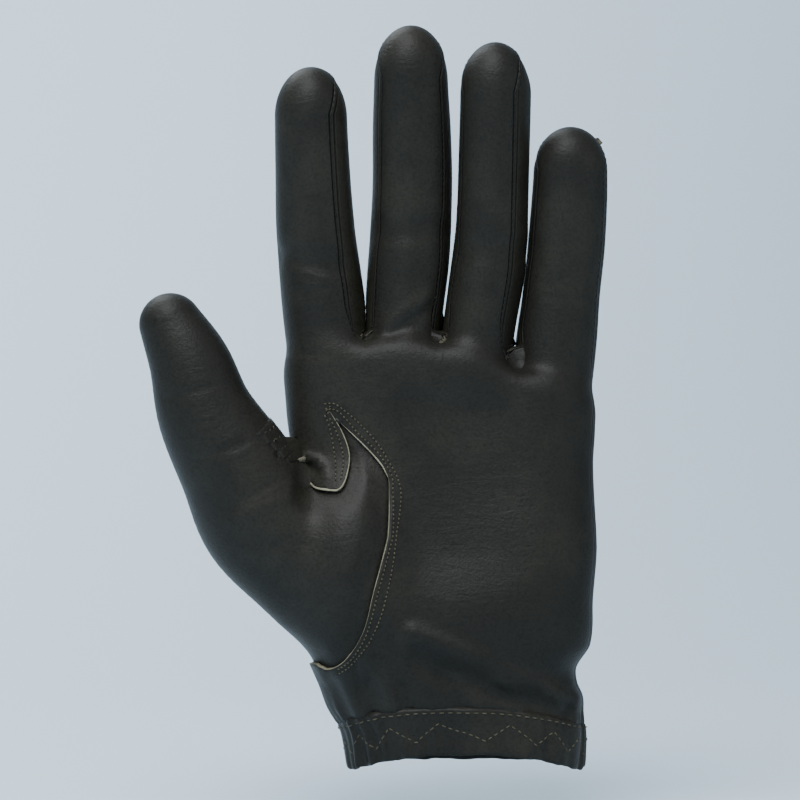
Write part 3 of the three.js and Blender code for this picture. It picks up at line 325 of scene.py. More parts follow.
def signed_power(value, power):
    return np.sign(value) * np.abs(value) ** power


def oval_distance(u, v, w, ru, rv, rw):
    """Distance to an ellipsoid: k(k-1)/l; k is the point over the radii, l the point over their squares."""
    k = np.sqrt(u * u + v * v + w * w) + 1e-6
    return k * (k - 1.0) / (np.sqrt((u / ru) ** 2 + (v / rv) ** 2 + (w / rw) ** 2) + 1e-6)


def seen(p):
    """Where points show in front view: carried along the line of sight onto the plane through the middle."""
    away = EYE_DISTANCE / (EYE_DISTANCE + p[..., 1])
    return EYE_X + (p[..., 0] - EYE_X) * away, EYE_Z + (p[..., 2] - EYE_Z) * away


def body_section(z):
    left, right, palm, back = (read(BODY_COLUMNS[n], z) for n in ("left", "right", "palm", "back"))
    return (left + right) / 2, (palm + back) / 2, (right - left) / 2, (back - palm) / 2


def body_field(p):
    """Distance to wrist and palm: a squarish oval section, closed by the webs between the fingers."""
    cx, cy, half, deep = body_section(p[:, 2])
    n = SQUARENESS
    u, v = np.abs(p[:, 0] - cx) / half + 1e-6, np.abs(p[:, 1] - cy) / deep + 1e-6
    q = (u**n + v**n) ** (1 / n)
    slope = q ** (1 - n) * np.hypot(u ** (n - 1) / half, v ** (n - 1) / deep)
    top = read(WEB_COLUMN, p[:, 0]) - WEB_SLOPE * (p[:, 1] - cy + deep)
    return -soft_min(-(q - 1) / slope, top - p[:, 2], TOP_ROUNDING)


def finger_sections(z):
    return [tuple(read(c[n], z) for n in ("x", "y", "half", "deep")) for c in FINGER_COLUMNS]


def past_slit(a, b, p):
    """How far a point lies past the middle of the slit between two finger sections, towards the second."""
    dx, dy = b[0] - a[0], b[1] - a[1]
    apart = np.hypot(dx, dy)
    nx, ny = dx / apart, dy / apart
    share = a[2] / (a[2] + b[2]) * apart
    return (p[:, 0] - a[0] - nx * share) * nx + (p[:, 1] - a[1] - ny * share) * ny


def fingers_field(p):
    """Distance to the four fingers, which press on each other but keep a fine slit."""
    z = p[:, 2]
    sections = finger_sections(z)
    past = [past_slit(sections[i], sections[i + 1], p) for i in range(3)]
    nearest = np.full(len(p), np.inf)
    for i, (finger, (cx, cy, half, deep)) in enumerate(zip(FINGERS, sections)):
        cap = finger["tip"] - finger["cap"]
        above, below = np.maximum(z - finger["cap"], 0) / cap, np.maximum(finger["z"][0] - z, 0) / FINGER_ROOT
        end = np.where(below > 0, FINGER_ROOT, cap)
        own = oval_distance((p[:, 0] - cx) / half, (p[:, 1] - cy) / deep, above + below, half, deep, end)
        if i > 0:
            own = np.maximum(own, FINGER_GAP / 2 - past[i - 1])
        if i < 3:
            own = np.maximum(own, FINGER_GAP / 2 + past[i])
        nearest = np.minimum(nearest, own)
    return nearest


def fold_height(p, x, z, folds):
    """Sum of all folds: each is its height times exp(-(distance to its line / width) squared)."""
    _, cy, _, _ = body_section(p[:, 2])
    facing = smooth(np.abs(p[:, 1] - cy) / 4.0)
    side_of = np.sign(p[:, 1] - cy)
    height = np.zeros(len(p))
    for x1, z1, x2, z2, rise, width, side in folds:
        dx, dz = x2 - x1, z2 - z1
        t = np.clip(((x - x1) * dx + (z - z1) * dz) / (dx * dx + dz * dz), 0, 1)
        away = ((x - x1 - t * dx) ** 2 + (z - z1 - t * dz) ** 2) / width**2
        height += rise * np.exp(-away) * (side_of == side)
    return height * facing


def arch_at(angle):
    """The hem runs level round the back and arches up across the palm side."""
    return HEM_ARCH * np.maximum(-np.sin(angle), 0) ** 2


def gather_height(p):
    """Puckers above the hem: cosines round the wrist that fade out upwards."""
    cx, cy, half, deep = body_section(p[:, 2])
    turn = np.arctan2((p[:, 1] - cy) / deep, (p[:, 0] - cx) / half)
    above = np.maximum(p[:, 2] - HEM_TOP - arch_at(turn), 0)
    uneven = 0.6 + 0.4 * np.sin(5 * turn + 1.3)
    fine = 0.16 * np.cos(HEM_PUCKERS * turn + 2.2 * np.sin(4 * turn)) * np.exp(-above / 3.2)
    broad = 0.46 * uneven * np.cos(23 * turn + 2.4 * np.sin(3 * turn)) * np.exp(-above / 7.5)
    return fine + broad


def bar_field(p, a, b):
    """Distance to a tapering round bar between two balls."""
    a, b = np.asarray(a, float), np.asarray(b, float)
    along = b[:3] - a[:3]
    t = np.clip((p - a[:3]) @ along / (along @ along), 0, 1)
    return np.linalg.norm(p - a[:3] - t[:, None] * along, axis=1) - (a[3] + t * (b[3] - a[3]))


def thumb_field(p):
    """Distance to the thumb: a chain of short bars through its balls, a little flattened, with its web."""
    flat = p * (1, THUMB_FLATNESS, 1) + (0, THUMB_DEPTH * (1 - THUMB_FLATNESS), 0)
    nearest = np.full(len(p), np.inf)
    for a, b in zip(THUMB_CHAIN[:-1], THUMB_CHAIN[1:]):
        nearest = np.minimum(nearest, bar_field(flat, a, b))
    return soft_min(nearest, bar_field(flat, *THUMB_WEB), 3.0)


def thenar_field(p):
    x, y, z, rx, ry, rz = THENAR
    return oval_distance((p[:, 0] - x) / rx, (p[:, 1] - y) / ry, (p[:, 2] - z) / rz, rx, ry, rz)


def trank_field(p):
    """The main leather's surface: palm, mound and fingers, with their folds and creases."""
    palm = soft_min(body_field(p), thenar_field(p), THENAR_BLEND)
    x, z = seen(p)
    folds = fold_height(p, p[:, 0], p[:, 2], FOLDS) + fold_height(p, x, z, CREASES)
    return soft_min(palm, fingers_field(p), FINGER_BLEND) - folds - gather_height(p)


def hand_field(p):
    blend = THUMB_BLEND + (WEB_BLEND - THUMB_BLEND) * smooth((p[:, 2] - 72) / 14)
    return soft_min(trank_field(p), thumb_field(p), blend) - thumb_creases(p)


def thumb_creases(p):
    """Creases across the thumb, in front view."""
    x, z = seen(p)
    height = np.zeros(len(p))
    for x1, z1, x2, z2, rise, width in THUMB_CREASES:
        dx, dz = x2 - x1, z2 - z1
        t = np.clip(((x - x1) * dx + (z - z1) * dz) / (dx * dx + dz * dz), 0, 1)
        height += rise * np.exp(-((x - x1 - t * dx) ** 2 + (z - z1 - t * dz) ** 2) / width**2)
    return height * smooth((-6 - p[:, 1]) / 6)


def gradient(field, p):
    """Slope of a field by central differences."""
    step = 0.03
    out = np.empty_like(p)
    for axis in range(3):
        shift = np.zeros(3)
        shift[axis] = step
        out[:, axis] = (field(p + shift) - field(p - shift)) / (2 * step)
    return out


def settle(field, guess, rounds=6):
    """Moves points onto a field's surface, each step down the slope by the field's value over its square."""
    p = guess.reshape(-1, 3).copy()
    for _ in range(rounds):
        slope = gradient(field, p)
        move = np.clip(field(p) / np.maximum((slope**2).sum(1), 0.05), -3, 3)
        p -= slope * move[:, None]
    return p.reshape(guess.shape)


def normals_of(field, p):
    slope = gradient(field, p.reshape(-1, 3))
    return (slope / (np.linalg.norm(slope, axis=1)[:, None] + 1e-9)).reshape(p.shape)


def body_point(z, angle):
    """A point of the palm's section: angle 0 at the little finger's side, -90 on the palm, 90 on the back."""
    cx, cy, half, deep = body_section(z)
    power = 2 / SQUARENESS
    return np.stack([cx + half * signed_power(np.cos(angle), power),
                     cy + deep * signed_power(np.sin(angle), power), z + 0 * angle], -1)


def foot_of(index, facing):
    """The foot of the slit to the right of a finger, or the side of the hand where there is none."""
    if index < 0:
        cx, cy, half, _ = finger_sections(SIDE_FOOT_LEFT)[0]
        return np.array([cx - half, cy, SIDE_FOOT_LEFT])
    if index >= 3:
        cx, cy, half, deep = finger_sections(SIDE_FOOT_RIGHT)[3]
        angle = math.asin(FINGERS[3]["palm_seams"][1])
        return np.array([cx + half * math.sin(angle), cy - deep * math.cos(angle), SIDE_FOOT_RIGHT])
    x, z, y, back_z, back_y = SLIT_FEET[index]
    return np.array([x, y, z]) if facing < 0 else np.array([x, back_y, back_z])


def finger_points(index, facing, across, up):
    """Guess for points of a finger: across runs -1 to 1 between its seams, up runs 0 to 1 from foot to tip.

    Round the finger the angle is across times the seam's angle; past the cap the direction turns over to the
    tip; near the foot the seam swings out to the foot of the slit.
    """
    across, up = np.broadcast_arrays(np.asarray(across, float), np.asarray(up, float))
    finger = FINGERS[index]
    left, right = finger["palm_seams"] if facing < 0 else finger["back_seams"]
    left_foot, right_foot = foot_of(index - 1, facing), foot_of(index, facing)
    foot_z = left_foot[2] + (right_foot[2] - left_foot[2]) * (across + 1) / 2 + 2 * (1 - across**2)
    z = foot_z + (finger["cap"] - foot_z) * np.minimum(up / CAP_START, 1)
    cx, cy, half, deep = finger_sections(z)[index]
    left_angle, right_angle = math.asin(left), math.asin(right)
    if facing > 0 and index == 3:
        right_angle = math.pi - right_angle
    angle = np.where(across < 0, across * left_angle, across * right_angle)
    flat = np.stack([np.sin(angle), facing * np.cos(angle), 0 * angle], -1)
    t = np.clip((up - CAP_START) / (1 - CAP_START), 0, 1)[..., None]
    ends = [math.asin(TIP_CLOSING * share) for share in finger["palm_seams"]]
    spread = np.where(across < 0, across * ends[0], across * ends[1])
    direction = flat * (1 - t) + np.stack([np.sin(spread), 0 * spread, np.cos(spread)], -1) * t
    direction /= np.linalg.norm(direction, axis=-1)[..., None]
    guess = np.stack([cx + direction[..., 0] * half, cy + direction[..., 1] * deep,
                      z + direction[..., 2] * (finger["tip"] - finger["cap"])], -1)
    flare = (1 - smooth((z - foot_z) / SEAM_FLARE)) * across**2 * smooth(1 - up)
    to_left = np.where((across < 0) & (index > 0), flare, 0)[..., None]
    to_right = np.where((across > 0) & (index < 3), flare, 0)[..., None]
    guess = guess + (left_foot - guess) * to_left
    guess = guess + (right_foot - guess) * to_right
    return keep_clear(index, guess)


def keep_clear(index, guess):
    """Holds a finger's points on its own side of the slits."""
    p = guess.reshape(-1, 3).copy()
    sections = finger_sections(p[:, 2])
    room = FINGER_GAP / 2 + 0.02
    if index > 0:
        gap = past_slit(sections[index - 1], sections[index], p)
        near = (gap < room) & (p[:, 2] > SLIT_FEET[index - 1][1] + 4)
        p[near, 0] += (room - gap)[near]
    if index < 3:
        gap = -past_slit(sections[index], sections[index + 1], p)
        near = (gap < room) & (p[:, 2] > SLIT_FEET[index][1] + 4)
        p[near, 0] -= (room - gap)[near]
    return p.reshape(guess.shape)


class Skin:
    """Points, quads and triangles of one sheet of leather, gathered grid by grid."""

    def __init__(self):
        self.points, self.faces, self.count = [], [], 0

    def add(self, points):
        flat = points.reshape(-1, 3)
        ids = self.count + np.arange(len(flat)).reshape(points.shape[:-1])
        self.points.append(flat)
        self.count += len(flat)
        return ids

    def quads(self, ids, flip=False):
        quads = np.stack([ids[:-1, :-1], ids[:-1, 1:], ids[1:, 1:], ids[1:, :-1]], -1).reshape(-1, 4)
        self.faces.append(quads[:, ::-1] if flip else quads)

    def result(self):
        return np.concatenate(self.points), np.concatenate(self.faces)


def make_object(name, points, quads, triangles=None, attributes=None):
    """A mesh object at the origin from points in millimetres and faces; doubled corners are dropped."""
    mesh = bpy.data.meshes.new(name)
    quads = np.asarray(quads, np.int32).reshape(-1, 4)
    doubled = quads == np.roll(quads, -1, axis=1)
    pinched = quads[doubled.any(1)]
    kept = ~doubled[doubled.any(1)]
    extra = pinched[kept.sum(1) == 3][kept[kept.sum(1) == 3]].reshape(-1, 3)
    quads = quads[~doubled.any(1)]
    triangles = np.zeros((0, 3), np.int32) if triangles is None else np.asarray(triangles, np.int32)
    triangles = np.concatenate([triangles, extra])
    loops = np.concatenate([quads.ravel(), triangles.ravel()])
    starts = np.concatenate([np.arange(len(quads)) * 4, len(quads) * 4 + np.arange(len(triangles)) * 3])
    mesh.vertices.add(len(points))
    mesh.vertices.foreach_set("co", (np.asarray(points) * MM).astype(np.float32).ravel())
    mesh.loops.add(len(loops))
    mesh.loops.foreach_set("vertex_index", loops.astype(np.int32))
    mesh.polygons.add(len(starts))
    mesh.polygons.foreach_set("loop_start", starts.astype(np.int32))
    mesh.polygons.foreach_set("use_smooth", np.ones(len(starts), bool))
    for key, values in (attributes or {}).items():
        layer = mesh.attributes.new(key, "FLOAT", "POINT")
        layer.data.foreach_set("value", np.asarray(values, np.float32).ravel())
    mesh.update(calc_edges=True)
    piece = bpy.data.objects.new(name, mesh)
    bpy.context.collection.objects.link(piece)
    return piece


def add_wall(piece, thickness, rim_slot=0, inside_slot=0):
    """Gives a sheet its wall inwards; slots count from the leather's own."""
    wall = piece.modifiers.new("wall", "SOLIDIFY")
    wall.thickness = thickness * MM
    wall.offset = -1.0
    wall.use_even_offset = False
    wall.use_rim = True
    wall.material_offset = inside_slot
    wall.material_offset_rim = rim_slot
    return wall


def finish_piece(piece, replaced=(), materials=()):
    """Gives a piece its materials, ties it to the frame and hides the parts that it replaces."""
    for material in materials:
        piece.data.materials.append(material)
    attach(piece, BODY)
    if replaced:
        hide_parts(*replaced)
    return piece


def closed_curve(points, per_step=14):
    """A smooth line through points, a cubic over the distance along them."""
    points = np.asarray(points, float)
    run = np.concatenate([[0], np.cumsum(np.linalg.norm(np.diff(points, axis=0), axis=1))])
    at = np.linspace(0, run[-1], per_step * len(points))
    return np.stack([cubic_through(run, points[:, k], at) for k in range(points.shape[1])], -1)


def loop_distance(loop, x, z):
    """Signed distance to a closed outline, negative inside, and the nearest point on it."""
    a = loop
    b = np.roll(loop, -1, axis=0)
    best = np.full(x.shape, np.inf)
    near_x, near_z = np.zeros_like(x), np.zeros_like(z)
    inside = np.zeros(x.shape, bool)
    for (ax, az), (bx, bz) in zip(a, b):
        dx, dz = bx - ax, bz - az
        t = np.clip(((x - ax) * dx + (z - az) * dz) / max(dx * dx + dz * dz, 1e-9), 0, 1)
        qx, qz = ax + t * dx, az + t * dz
        d = np.hypot(x - qx, z - qz)
        closer = d < best
        best, near_x = np.where(closer, d, best), np.where(closer, qx, near_x)
        near_z = np.where(closer, qz, near_z)
        crosses = ((az > z) != (bz > z)) & (x < dx * (z - az) / (dz if abs(dz) > 1e-9 else 1e-9) + ax)
        inside ^= crosses
    return np.where(inside, -best, best), near_x, near_z


# Shares across a finger's grid, closer together at its seams
def across_steps(columns):
    even = np.linspace(-1, 1, columns + 1)
    return 0.45 * even + 0.55 * -np.cos(np.pi * (even + 1) / 2)


def build_trank_grid():
    """The palm and back leather as one sheet that turns round the index side.

    Each half is a grid from the hem up to the fingers' feet, with a grid up each finger on top of it. The
    distance of every point to the leather's stitched edge goes with it, in millimetres.
    """
    skin = Skin()
    seams = []
    across = across_steps(FINGER_COLUMNS_FINE)
    count = 4 * FINGER_COLUMNS_FINE
    share = np.linspace(0, 1, PALM_ROWS)[:, None]
    ulnar = math.acos(ULNAR_SEAM_SHARE ** (SQUARENESS / 2))
    ups = np.concatenate([np.linspace(0, CAP_START, FINGER_ROWS - CAP_ROWS)[1:],
                          CAP_START + (1 - CAP_START) * np.linspace(0, 1, CAP_ROWS + 1)[1:]])[:, None]
    fold_ids, tip_ids, finger_fold_ids = None, [], None
    for facing in (-1, 1):
        feet = np.concatenate([finger_points(i, facing, across[(0 if i == 0 else 1):], 0.0)
                               for i in range(4)])
        turn = np.linspace(math.pi, -facing * ulnar, count + 1)
        cx, _, half, _ = body_section(np.minimum(feet[:, 2], SIDE_FOOT_LEFT))
        at_top = np.arccos(signed_power(np.clip((feet[:, 0] - cx) / half, -1, 1), SQUARENESS / 2))
        _, cy, _, _ = body_section(feet[:, 2])
        at_top = at_top * np.where((feet[:, 1] - cy) * facing < 0, -1, 1)
        angle = turn + (at_top - turn) * smooth(share)
        base = HEM_TOP + arch_at(facing * turn)
        z = base + (feet[:, 2] - base) * share
        z[0] -= TUCK_LENGTH
        guess = body_point(z, facing * angle)
        flat = np.stack([feet[:, 0] + 0 * z, feet[:, 1] + 0 * z, z], -1)
        guess += (flat - guess) * smooth((share - 0.7) / 0.3)[..., None]
        rows = settle(trank_field, guess)
        tuck = TUCK_DEPTH * (1 - smooth((rows[..., 2] - base + TUCK_LENGTH) / (TUCK_LENGTH + 1.0)))
        rows = rows - normals_of(trank_field, rows) * tuck[..., None]
        palm_edge = np.full(rows.shape[:2], FAR)
        run = np.linalg.norm(np.diff(rows[:, ::-1], axis=1), axis=2).cumsum(1)[:, ::-1]
        palm_edge[:, :-1] = run
        palm_edge[:, -1] = 0
        ids = skin.add(rows)
        seams.append(np.minimum(palm_edge, FAR))
        if fold_ids is None:
            fold_ids = ids[:, 0]
        else:
            ids[:, 0] = fold_ids
        skin.quads(ids, flip=facing > 0)
        for i in range(4):
            foot_ids = ids[-1, i * FINGER_COLUMNS_FINE:(i + 1) * FINGER_COLUMNS_FINE + 1]
            points = settle(trank_field, finger_points(i, facing, across[None, :], ups))
            step = np.linalg.norm(np.diff(points, axis=1), axis=2)
            from_left = np.concatenate([np.zeros((len(points), 1)), step.cumsum(1)], 1)
            from_right = from_left[:, -1:] - from_left
            if i == 0:
                from_left = from_left * 0 + FAR
            own = skin.add(points)
            seams.append(np.minimum(np.minimum(from_left, from_right), FAR))
            if facing < 0:
                tip_ids.append(own[-1])
                if i == 0:
                    finger_fold_ids = own[:, 0]
            else:
                own[-1] = tip_ids[i]
                if i == 0:
                    own[:, 0] = finger_fold_ids
            skin.quads(np.concatenate([foot_ids[None], own]), flip=facing > 0)
    points, quads = skin.result()
    return points, quads, np.concatenate([s.ravel() for s in seams])


def cut_hole(points, quads, seam):
    """Cuts the thumb hole: along every grid edge that crosses its outline, the nearer end moves onto it."""
    palm_loop, back_loop = closed_curve(PALM_HOLE), closed_curve(BACK_HOLE)
    near = (points[:, 2] < 110) & (points[:, 0] < -10)
    place = np.flatnonzero(near)
    distance, target = np.full(len(points), FAR), points.copy()
    for loop, on_side in ((palm_loop, -1), (back_loop, 1)):
        _, cy, _, _ = body_section(points[place, 2])
        mine = place[(np.sign(points[place, 1] - cy) * on_side > 0) | (np.abs(points[place, 1] - cy) < 0.02)]
        x, z = seen(points[mine])
        d, qx, qz = loop_distance(loop, x, z)
        distance[mine] = d
        away = EYE_DISTANCE / (EYE_DISTANCE + points[mine, 1])
        target[mine, 0] = EYE_X + (qx - EYE_X) / away
        target[mine, 2] = EYE_Z + (qz - EYE_Z) / away
    edges = np.concatenate([quads[:, [0, 1]], quads[:, [1, 2]], quads[:, [2, 3]], quads[:, [3, 0]]])
    crossing = edges[(distance[edges[:, 0]] < 0) != (distance[edges[:, 1]] < 0)]
    nearer = np.where(np.abs(distance[crossing[:, 0]]) < np.abs(distance[crossing[:, 1]]),
                      crossing[:, 0], crossing[:, 1])
    snapped = np.unique(nearer)
    for _ in range(2):
        points[snapped] = target[snapped]
        points[snapped] = settle(trank_field, points[snapped], 3)
        target[snapped, 1] = points[snapped, 1]
    distance[snapped] = 0
    corner = distance[quads]
    keep = (corner >= 0).all(1) & (corner > 0).any(1)
    split = (corner > 0).any(1) & (corner < 0).any(1)
    halves = np.concatenate([quads[split][:, [0, 1, 2]], quads[split][:, [0, 2, 3]],
                             quads[split][:, [1, 2, 3]], quads[split][:, [1, 3, 0]]])
    worth = (distance[halves] >= 0).all(1) & (distance[halves] > 0).any(1)
    triangles = halves[worth]
    # a corner triangle is cut once: of two that share two corners and a face, the first is kept
    order = np.sort(triangles, 1)
    _, first = np.unique(order, axis=0, return_index=True)
    triangles = triangles[np.sort(first)]
    used = np.zeros(len(points), bool)
    used[quads[keep].ravel()] = True
    used[triangles.ravel()] = True
    renumber = np.cumsum(used) - 1
    hole = np.maximum(distance, 0)
    return (points[used], renumber[quads[keep]], renumber[triangles], seam[used], hole[used])


def strip_points(index):
    """The strip between two fingers: down the side of one, round the web, and up the side of the next.

    On a finger's side a row runs from the palm seam's angle to the back seam's; round the web the rows turn
    from one side's lowest row to the web's own curve and on to the other side's.
    """
    share = np.linspace(0, 1, STRIP_COLUMNS + 1)[None, :]
    ups = np.linspace(STRIP_TOP, STRIP_FOOT, STRIP_ROWS)[:, None]

    def side(finger, across, up):
        palm_edge = finger_points(finger, -1, across, up)
        back_edge = finger_points(finger, 1, across, up)
        cx, cy, half, deep = finger_sections(palm_edge[..., 2])[finger]
        own = FINGERS[finger]
        cap = np.clip((palm_edge[..., 2] - own["cap"]) / (own["tip"] - own["cap"]), 0, 0.98)
        thin = np.sqrt(1 - cap * cap)
        start = np.arctan2((palm_edge[..., 1] - cy) / deep, (palm_edge[..., 0] - cx) / half * across)
        end = np.arctan2((back_edge[..., 1] - cy) / deep, (back_edge[..., 0] - cx) / half * across)
        angle = start - STRIP_TUCK / half + (end - start + 2 * STRIP_TUCK / half) * share
        height = palm_edge[..., 2] + (back_edge[..., 2] - palm_edge[..., 2]) * share
        guess = np.stack([cx + across * half * thin * np.cos(angle),
                          cy + deep * thin * np.sin(angle), height], -1)
        return keep_clear(finger, guess)

    x, z, y, back_z, back_y = SLIT_FEET[index]
    over = 0.06 + 0.88 * share[0]
    web = np.stack([x + 0 * over, y + (back_y - y) * over,
                    z + (back_z - z) * over + 0.3 + 2.5 * np.sin(np.pi * share[0])], -1)
    first, second = side(index, 1, ups), side(index + 1, -1, ups)
    bend = np.linspace(0, 1, WEB_ROWS + 2)[1:-1][:, None, None]
    down = first[-1] + (web - first[-1]) * bend
    rise = web + (second[-1] - web) * bend
    return np.concatenate([first, down, web[None], rise, second[::-1]])


def build_strip(index):
    """Settles a strip a little under the palm and back leather, and gives its distance to its back seam."""
    points = settle(trank_field, strip_points(index))
    flat = points.reshape(-1, 3)
    sections = finger_sections(flat[:, 2])
    clear = np.abs(past_slit(sections[index], sections[index + 1], flat)).reshape(points.shape[:2])
    clear = clear - FINGER_GAP / 2
    drop = SLIT_DROP + (STRIP_DROP - SLIT_DROP) * smooth(clear / 1.5)
    points = points - normals_of(trank_field, points) * drop[..., None]
    step = np.linalg.norm(np.diff(points, axis=1), axis=2)
    from_palm = np.concatenate([np.zeros((len(points), 1)), step.cumsum(1)], 1)
    seam = np.minimum(from_palm, from_palm[:, -1:] - from_palm)
    skin = Skin()
    skin.quads(skin.add(points), flip=True)
    flat, quads = skin.result()
    return flat, quads, seam.ravel()


def seam_at(share):
    """The thumb's lapped seam at shares of the way round: a cubic through the rows of its closed table."""
    count = len(THUMB_SEAM)
    place = share * count
    i = np.floor(place).astype(int) % count
    t = (place - np.floor(place))[:, None]
    table = THUMB_SEAM[:, 1:5]
    p, q, r, s = (table[(i + k) % count] for k in (-1, 0, 1, 2))
    curve = q + 0.5 * t * (r - p + t * (2 * p - 5 * q + 4 * r - s + t * (3 * (q - r) + s - p)))
    lean = THUMB_SEAM[i, 0] + (THUMB_SEAM[(i + 1) % count, 0] - THUMB_SEAM[i, 0]) * t[:, 0]
    turns = np.append(THUMB_SEAM[:, 5], 360.0)
    turn = np.radians(turns[i] + (turns[i + 1] - turns[i]) * t[:, 0])
    return curve, lean, turn


def on_body(x, z, lean):
    """A guess on the palm or back of the body at a place in front view."""
    cx, cy, half, deep = body_section(z)
    reach = np.clip(np.abs(x - cx) / half, 0, 1)
    return np.stack([x, cy + lean * deep * (1 - reach**SQUARENESS) ** (1 / SQUARENESS), z], -1)


def rib_points(rib, turn):
    ox, oz, ix, iz, y, deep = rib
    return np.stack([(ox + ix) / 2 + (ix - ox) / 2 * np.cos(turn), y - deep * np.sin(turn),
                     (oz + iz) / 2 + (iz - oz) / 2 * np.cos(turn)], -1)


def hole_depth(points):
    """How far in front view points lie inside the thumb hole, or past the side of the hand."""
    flat = points.reshape(-1, 3)
    x, z = seen(flat)
    _, cy, _, _ = body_section(flat[:, 2])
    inside = np.where(flat[:, 1] < cy, -loop_distance(closed_curve(PALM_HOLE, 5), x, z)[0],
                      -loop_distance(closed_curve(BACK_HOLE, 5), x, z)[0])
    away = np.hypot(x - WEB_MIDDLE[0], z - WEB_MIDDLE[1])
    rise = WEB_RISE + (RISE - WEB_RISE) * smooth((away - 4) / 14)
    return np.maximum(inside, HAND_SIDE - x), rise


def web_share(points):
    """1 at the web, where the thumb leather runs on into the hand; 0 away from it and on the back."""
    flat = points.reshape(-1, 3)
    x, z = seen(flat)
    _, cy, _, _ = body_section(flat[:, 2])
    away = np.hypot(x - WEB_MIDDLE[0], (z - WEB_MIDDLE[1]) * 0.8)
    return (1 - smooth((away - 4.0) / 4.5)) * (1 - smooth((flat[:, 1] - cy + 2) / 4))


def right_of_web(x, z):
    """How far places in front view lie right of the line where the web passes in front of the palm."""
    (x1, z1), (x2, z2) = WEB_LINE
    return ((x - x1) * (z1 - z2) + (z - z1) * (x2 - x1)) / math.hypot(x2 - x1, z2 - z1)


def hold_under(points, where):
    """Moves points under the palm leather, from full depth 1 mm right of the web's line to none 1 mm left.

    Only places on the hand and right of the line are moved: the free thumb beside the hand stays as it is.
    """
    flat = points.reshape(-1, 3)
    x, z = seen(flat)
    right = right_of_web(x, z)
    where = where & (right > -1.0) & (x > HAND_SIDE)
    limit = WEB_LIMIT - (WEB_LIMIT + LAP_DROP + 0.2) * smooth((right + 1.0) / 2.0)
    for _ in range(2):
        slope = gradient(trank_field, flat)
        above = np.where(where, np.maximum(trank_field(flat) - limit, 0), 0)
        flat = flat - slope * (above / np.maximum((slope**2).sum(1), 0.05))[:, None]
    return flat.reshape(points.shape)


def in_front_half(flat):
    _, cy, _, _ = body_section(flat[:, 2])
    return flat[:, 1] < cy


def push_under(points):
    """Keeps the thumb leather under the palm leather wherever that covers it in front view."""
    flat = points.reshape(-1, 3)
    x, z = seen(flat)
    covered = loop_distance(closed_curve(PALM_HOLE, 5), x, z)[0] > 0
    return hold_under(points, covered & in_front_half(flat))


def web_field(p):
    """The thumb's surface, rounded towards the hand's as the joint is, and running on inside the hand."""
    trank, thumb = trank_field(p), thumb_field(p)
    near = np.maximum(WEB_BLEND - np.abs(trank - thumb), 0) / WEB_BLEND
    return thumb - near**2 * WEB_BLEND / 4 - thumb_creases(p)


def build_web():
    """The thumb's web: rings round its bar, from on the thumb to inside the hand; its border dips under."""
    a, b = np.array(THUMB_WEB[0]), np.array(THUMB_WEB[1])
    along = (b - a)[:3] / np.linalg.norm((b - a)[:3])
    up = np.array([along[2], 0, -along[0]])
    up *= np.sign(up[2]) / np.linalg.norm(up)
    side = np.cross(along, up)
    t = np.linspace(*WEB_PART, 72)[:, None, None]
    turn = np.radians(np.linspace(-WEB_TURN, WEB_TURN, 80))[None, :, None]
    points = a[:3] + (b - a)[:3] * t + (a[3] + (b[3] - a[3]) * t) * (np.cos(turn) * up + np.sin(turn) * side)
    points = settle(web_field, points, 8)
    ends = np.minimum(t - WEB_PART[0], WEB_PART[1] - t) / WEB_FADE
    sides = (np.radians(WEB_TURN) - np.abs(turn)) / np.radians(WEB_FADE_TURN)
    lift = -WEB_DIP + (WEB_DIP + WEB_PROUD) * smooth(np.minimum(ends, sides))
    # below the tab the thumb leather still rises out of its lap, so the web's piece goes under it there
    inside, rise = hole_depth(points)
    below = smooth((WEB_LOW - seen(points.reshape(-1, 3))[1]) / 3.0) * (1 - smooth(inside / rise))
    lift = lift - WEB_LOW_DROP * below.reshape(points.shape[:2])[..., None]
    points = points + normals_of(web_field, points) * lift
    points = hold_under(points, in_front_half(points.reshape(-1, 3)))
    skin = Skin()
    skin.quads(skin.add(points), flip=float(np.dot(np.cross(along, side), up)) > 0)
    return skin.result()


def without_web(flat, quads):
    """The thumb's quads without those that the web's own piece covers."""
    middle = flat[quads].mean(1)
    x, z = seen(middle)
    _, cy, _, _ = body_section(middle[:, 2])
    corner = flat[quads]
    normal = np.cross(corner[:, 2] - corner[:, 0], corner[:, 3] - corner[:, 1])
    away = np.hypot(x - WEB_CORNER[0], z - WEB_CORNER[1])
    turned = (normal * normals_of(hand_field, middle)).sum(1) < 0.1 * np.linalg.norm(normal, axis=1)
    return quads[~((away < 4.6) & (middle[:, 1] < cy + 4) | (away < 9) & turned)]


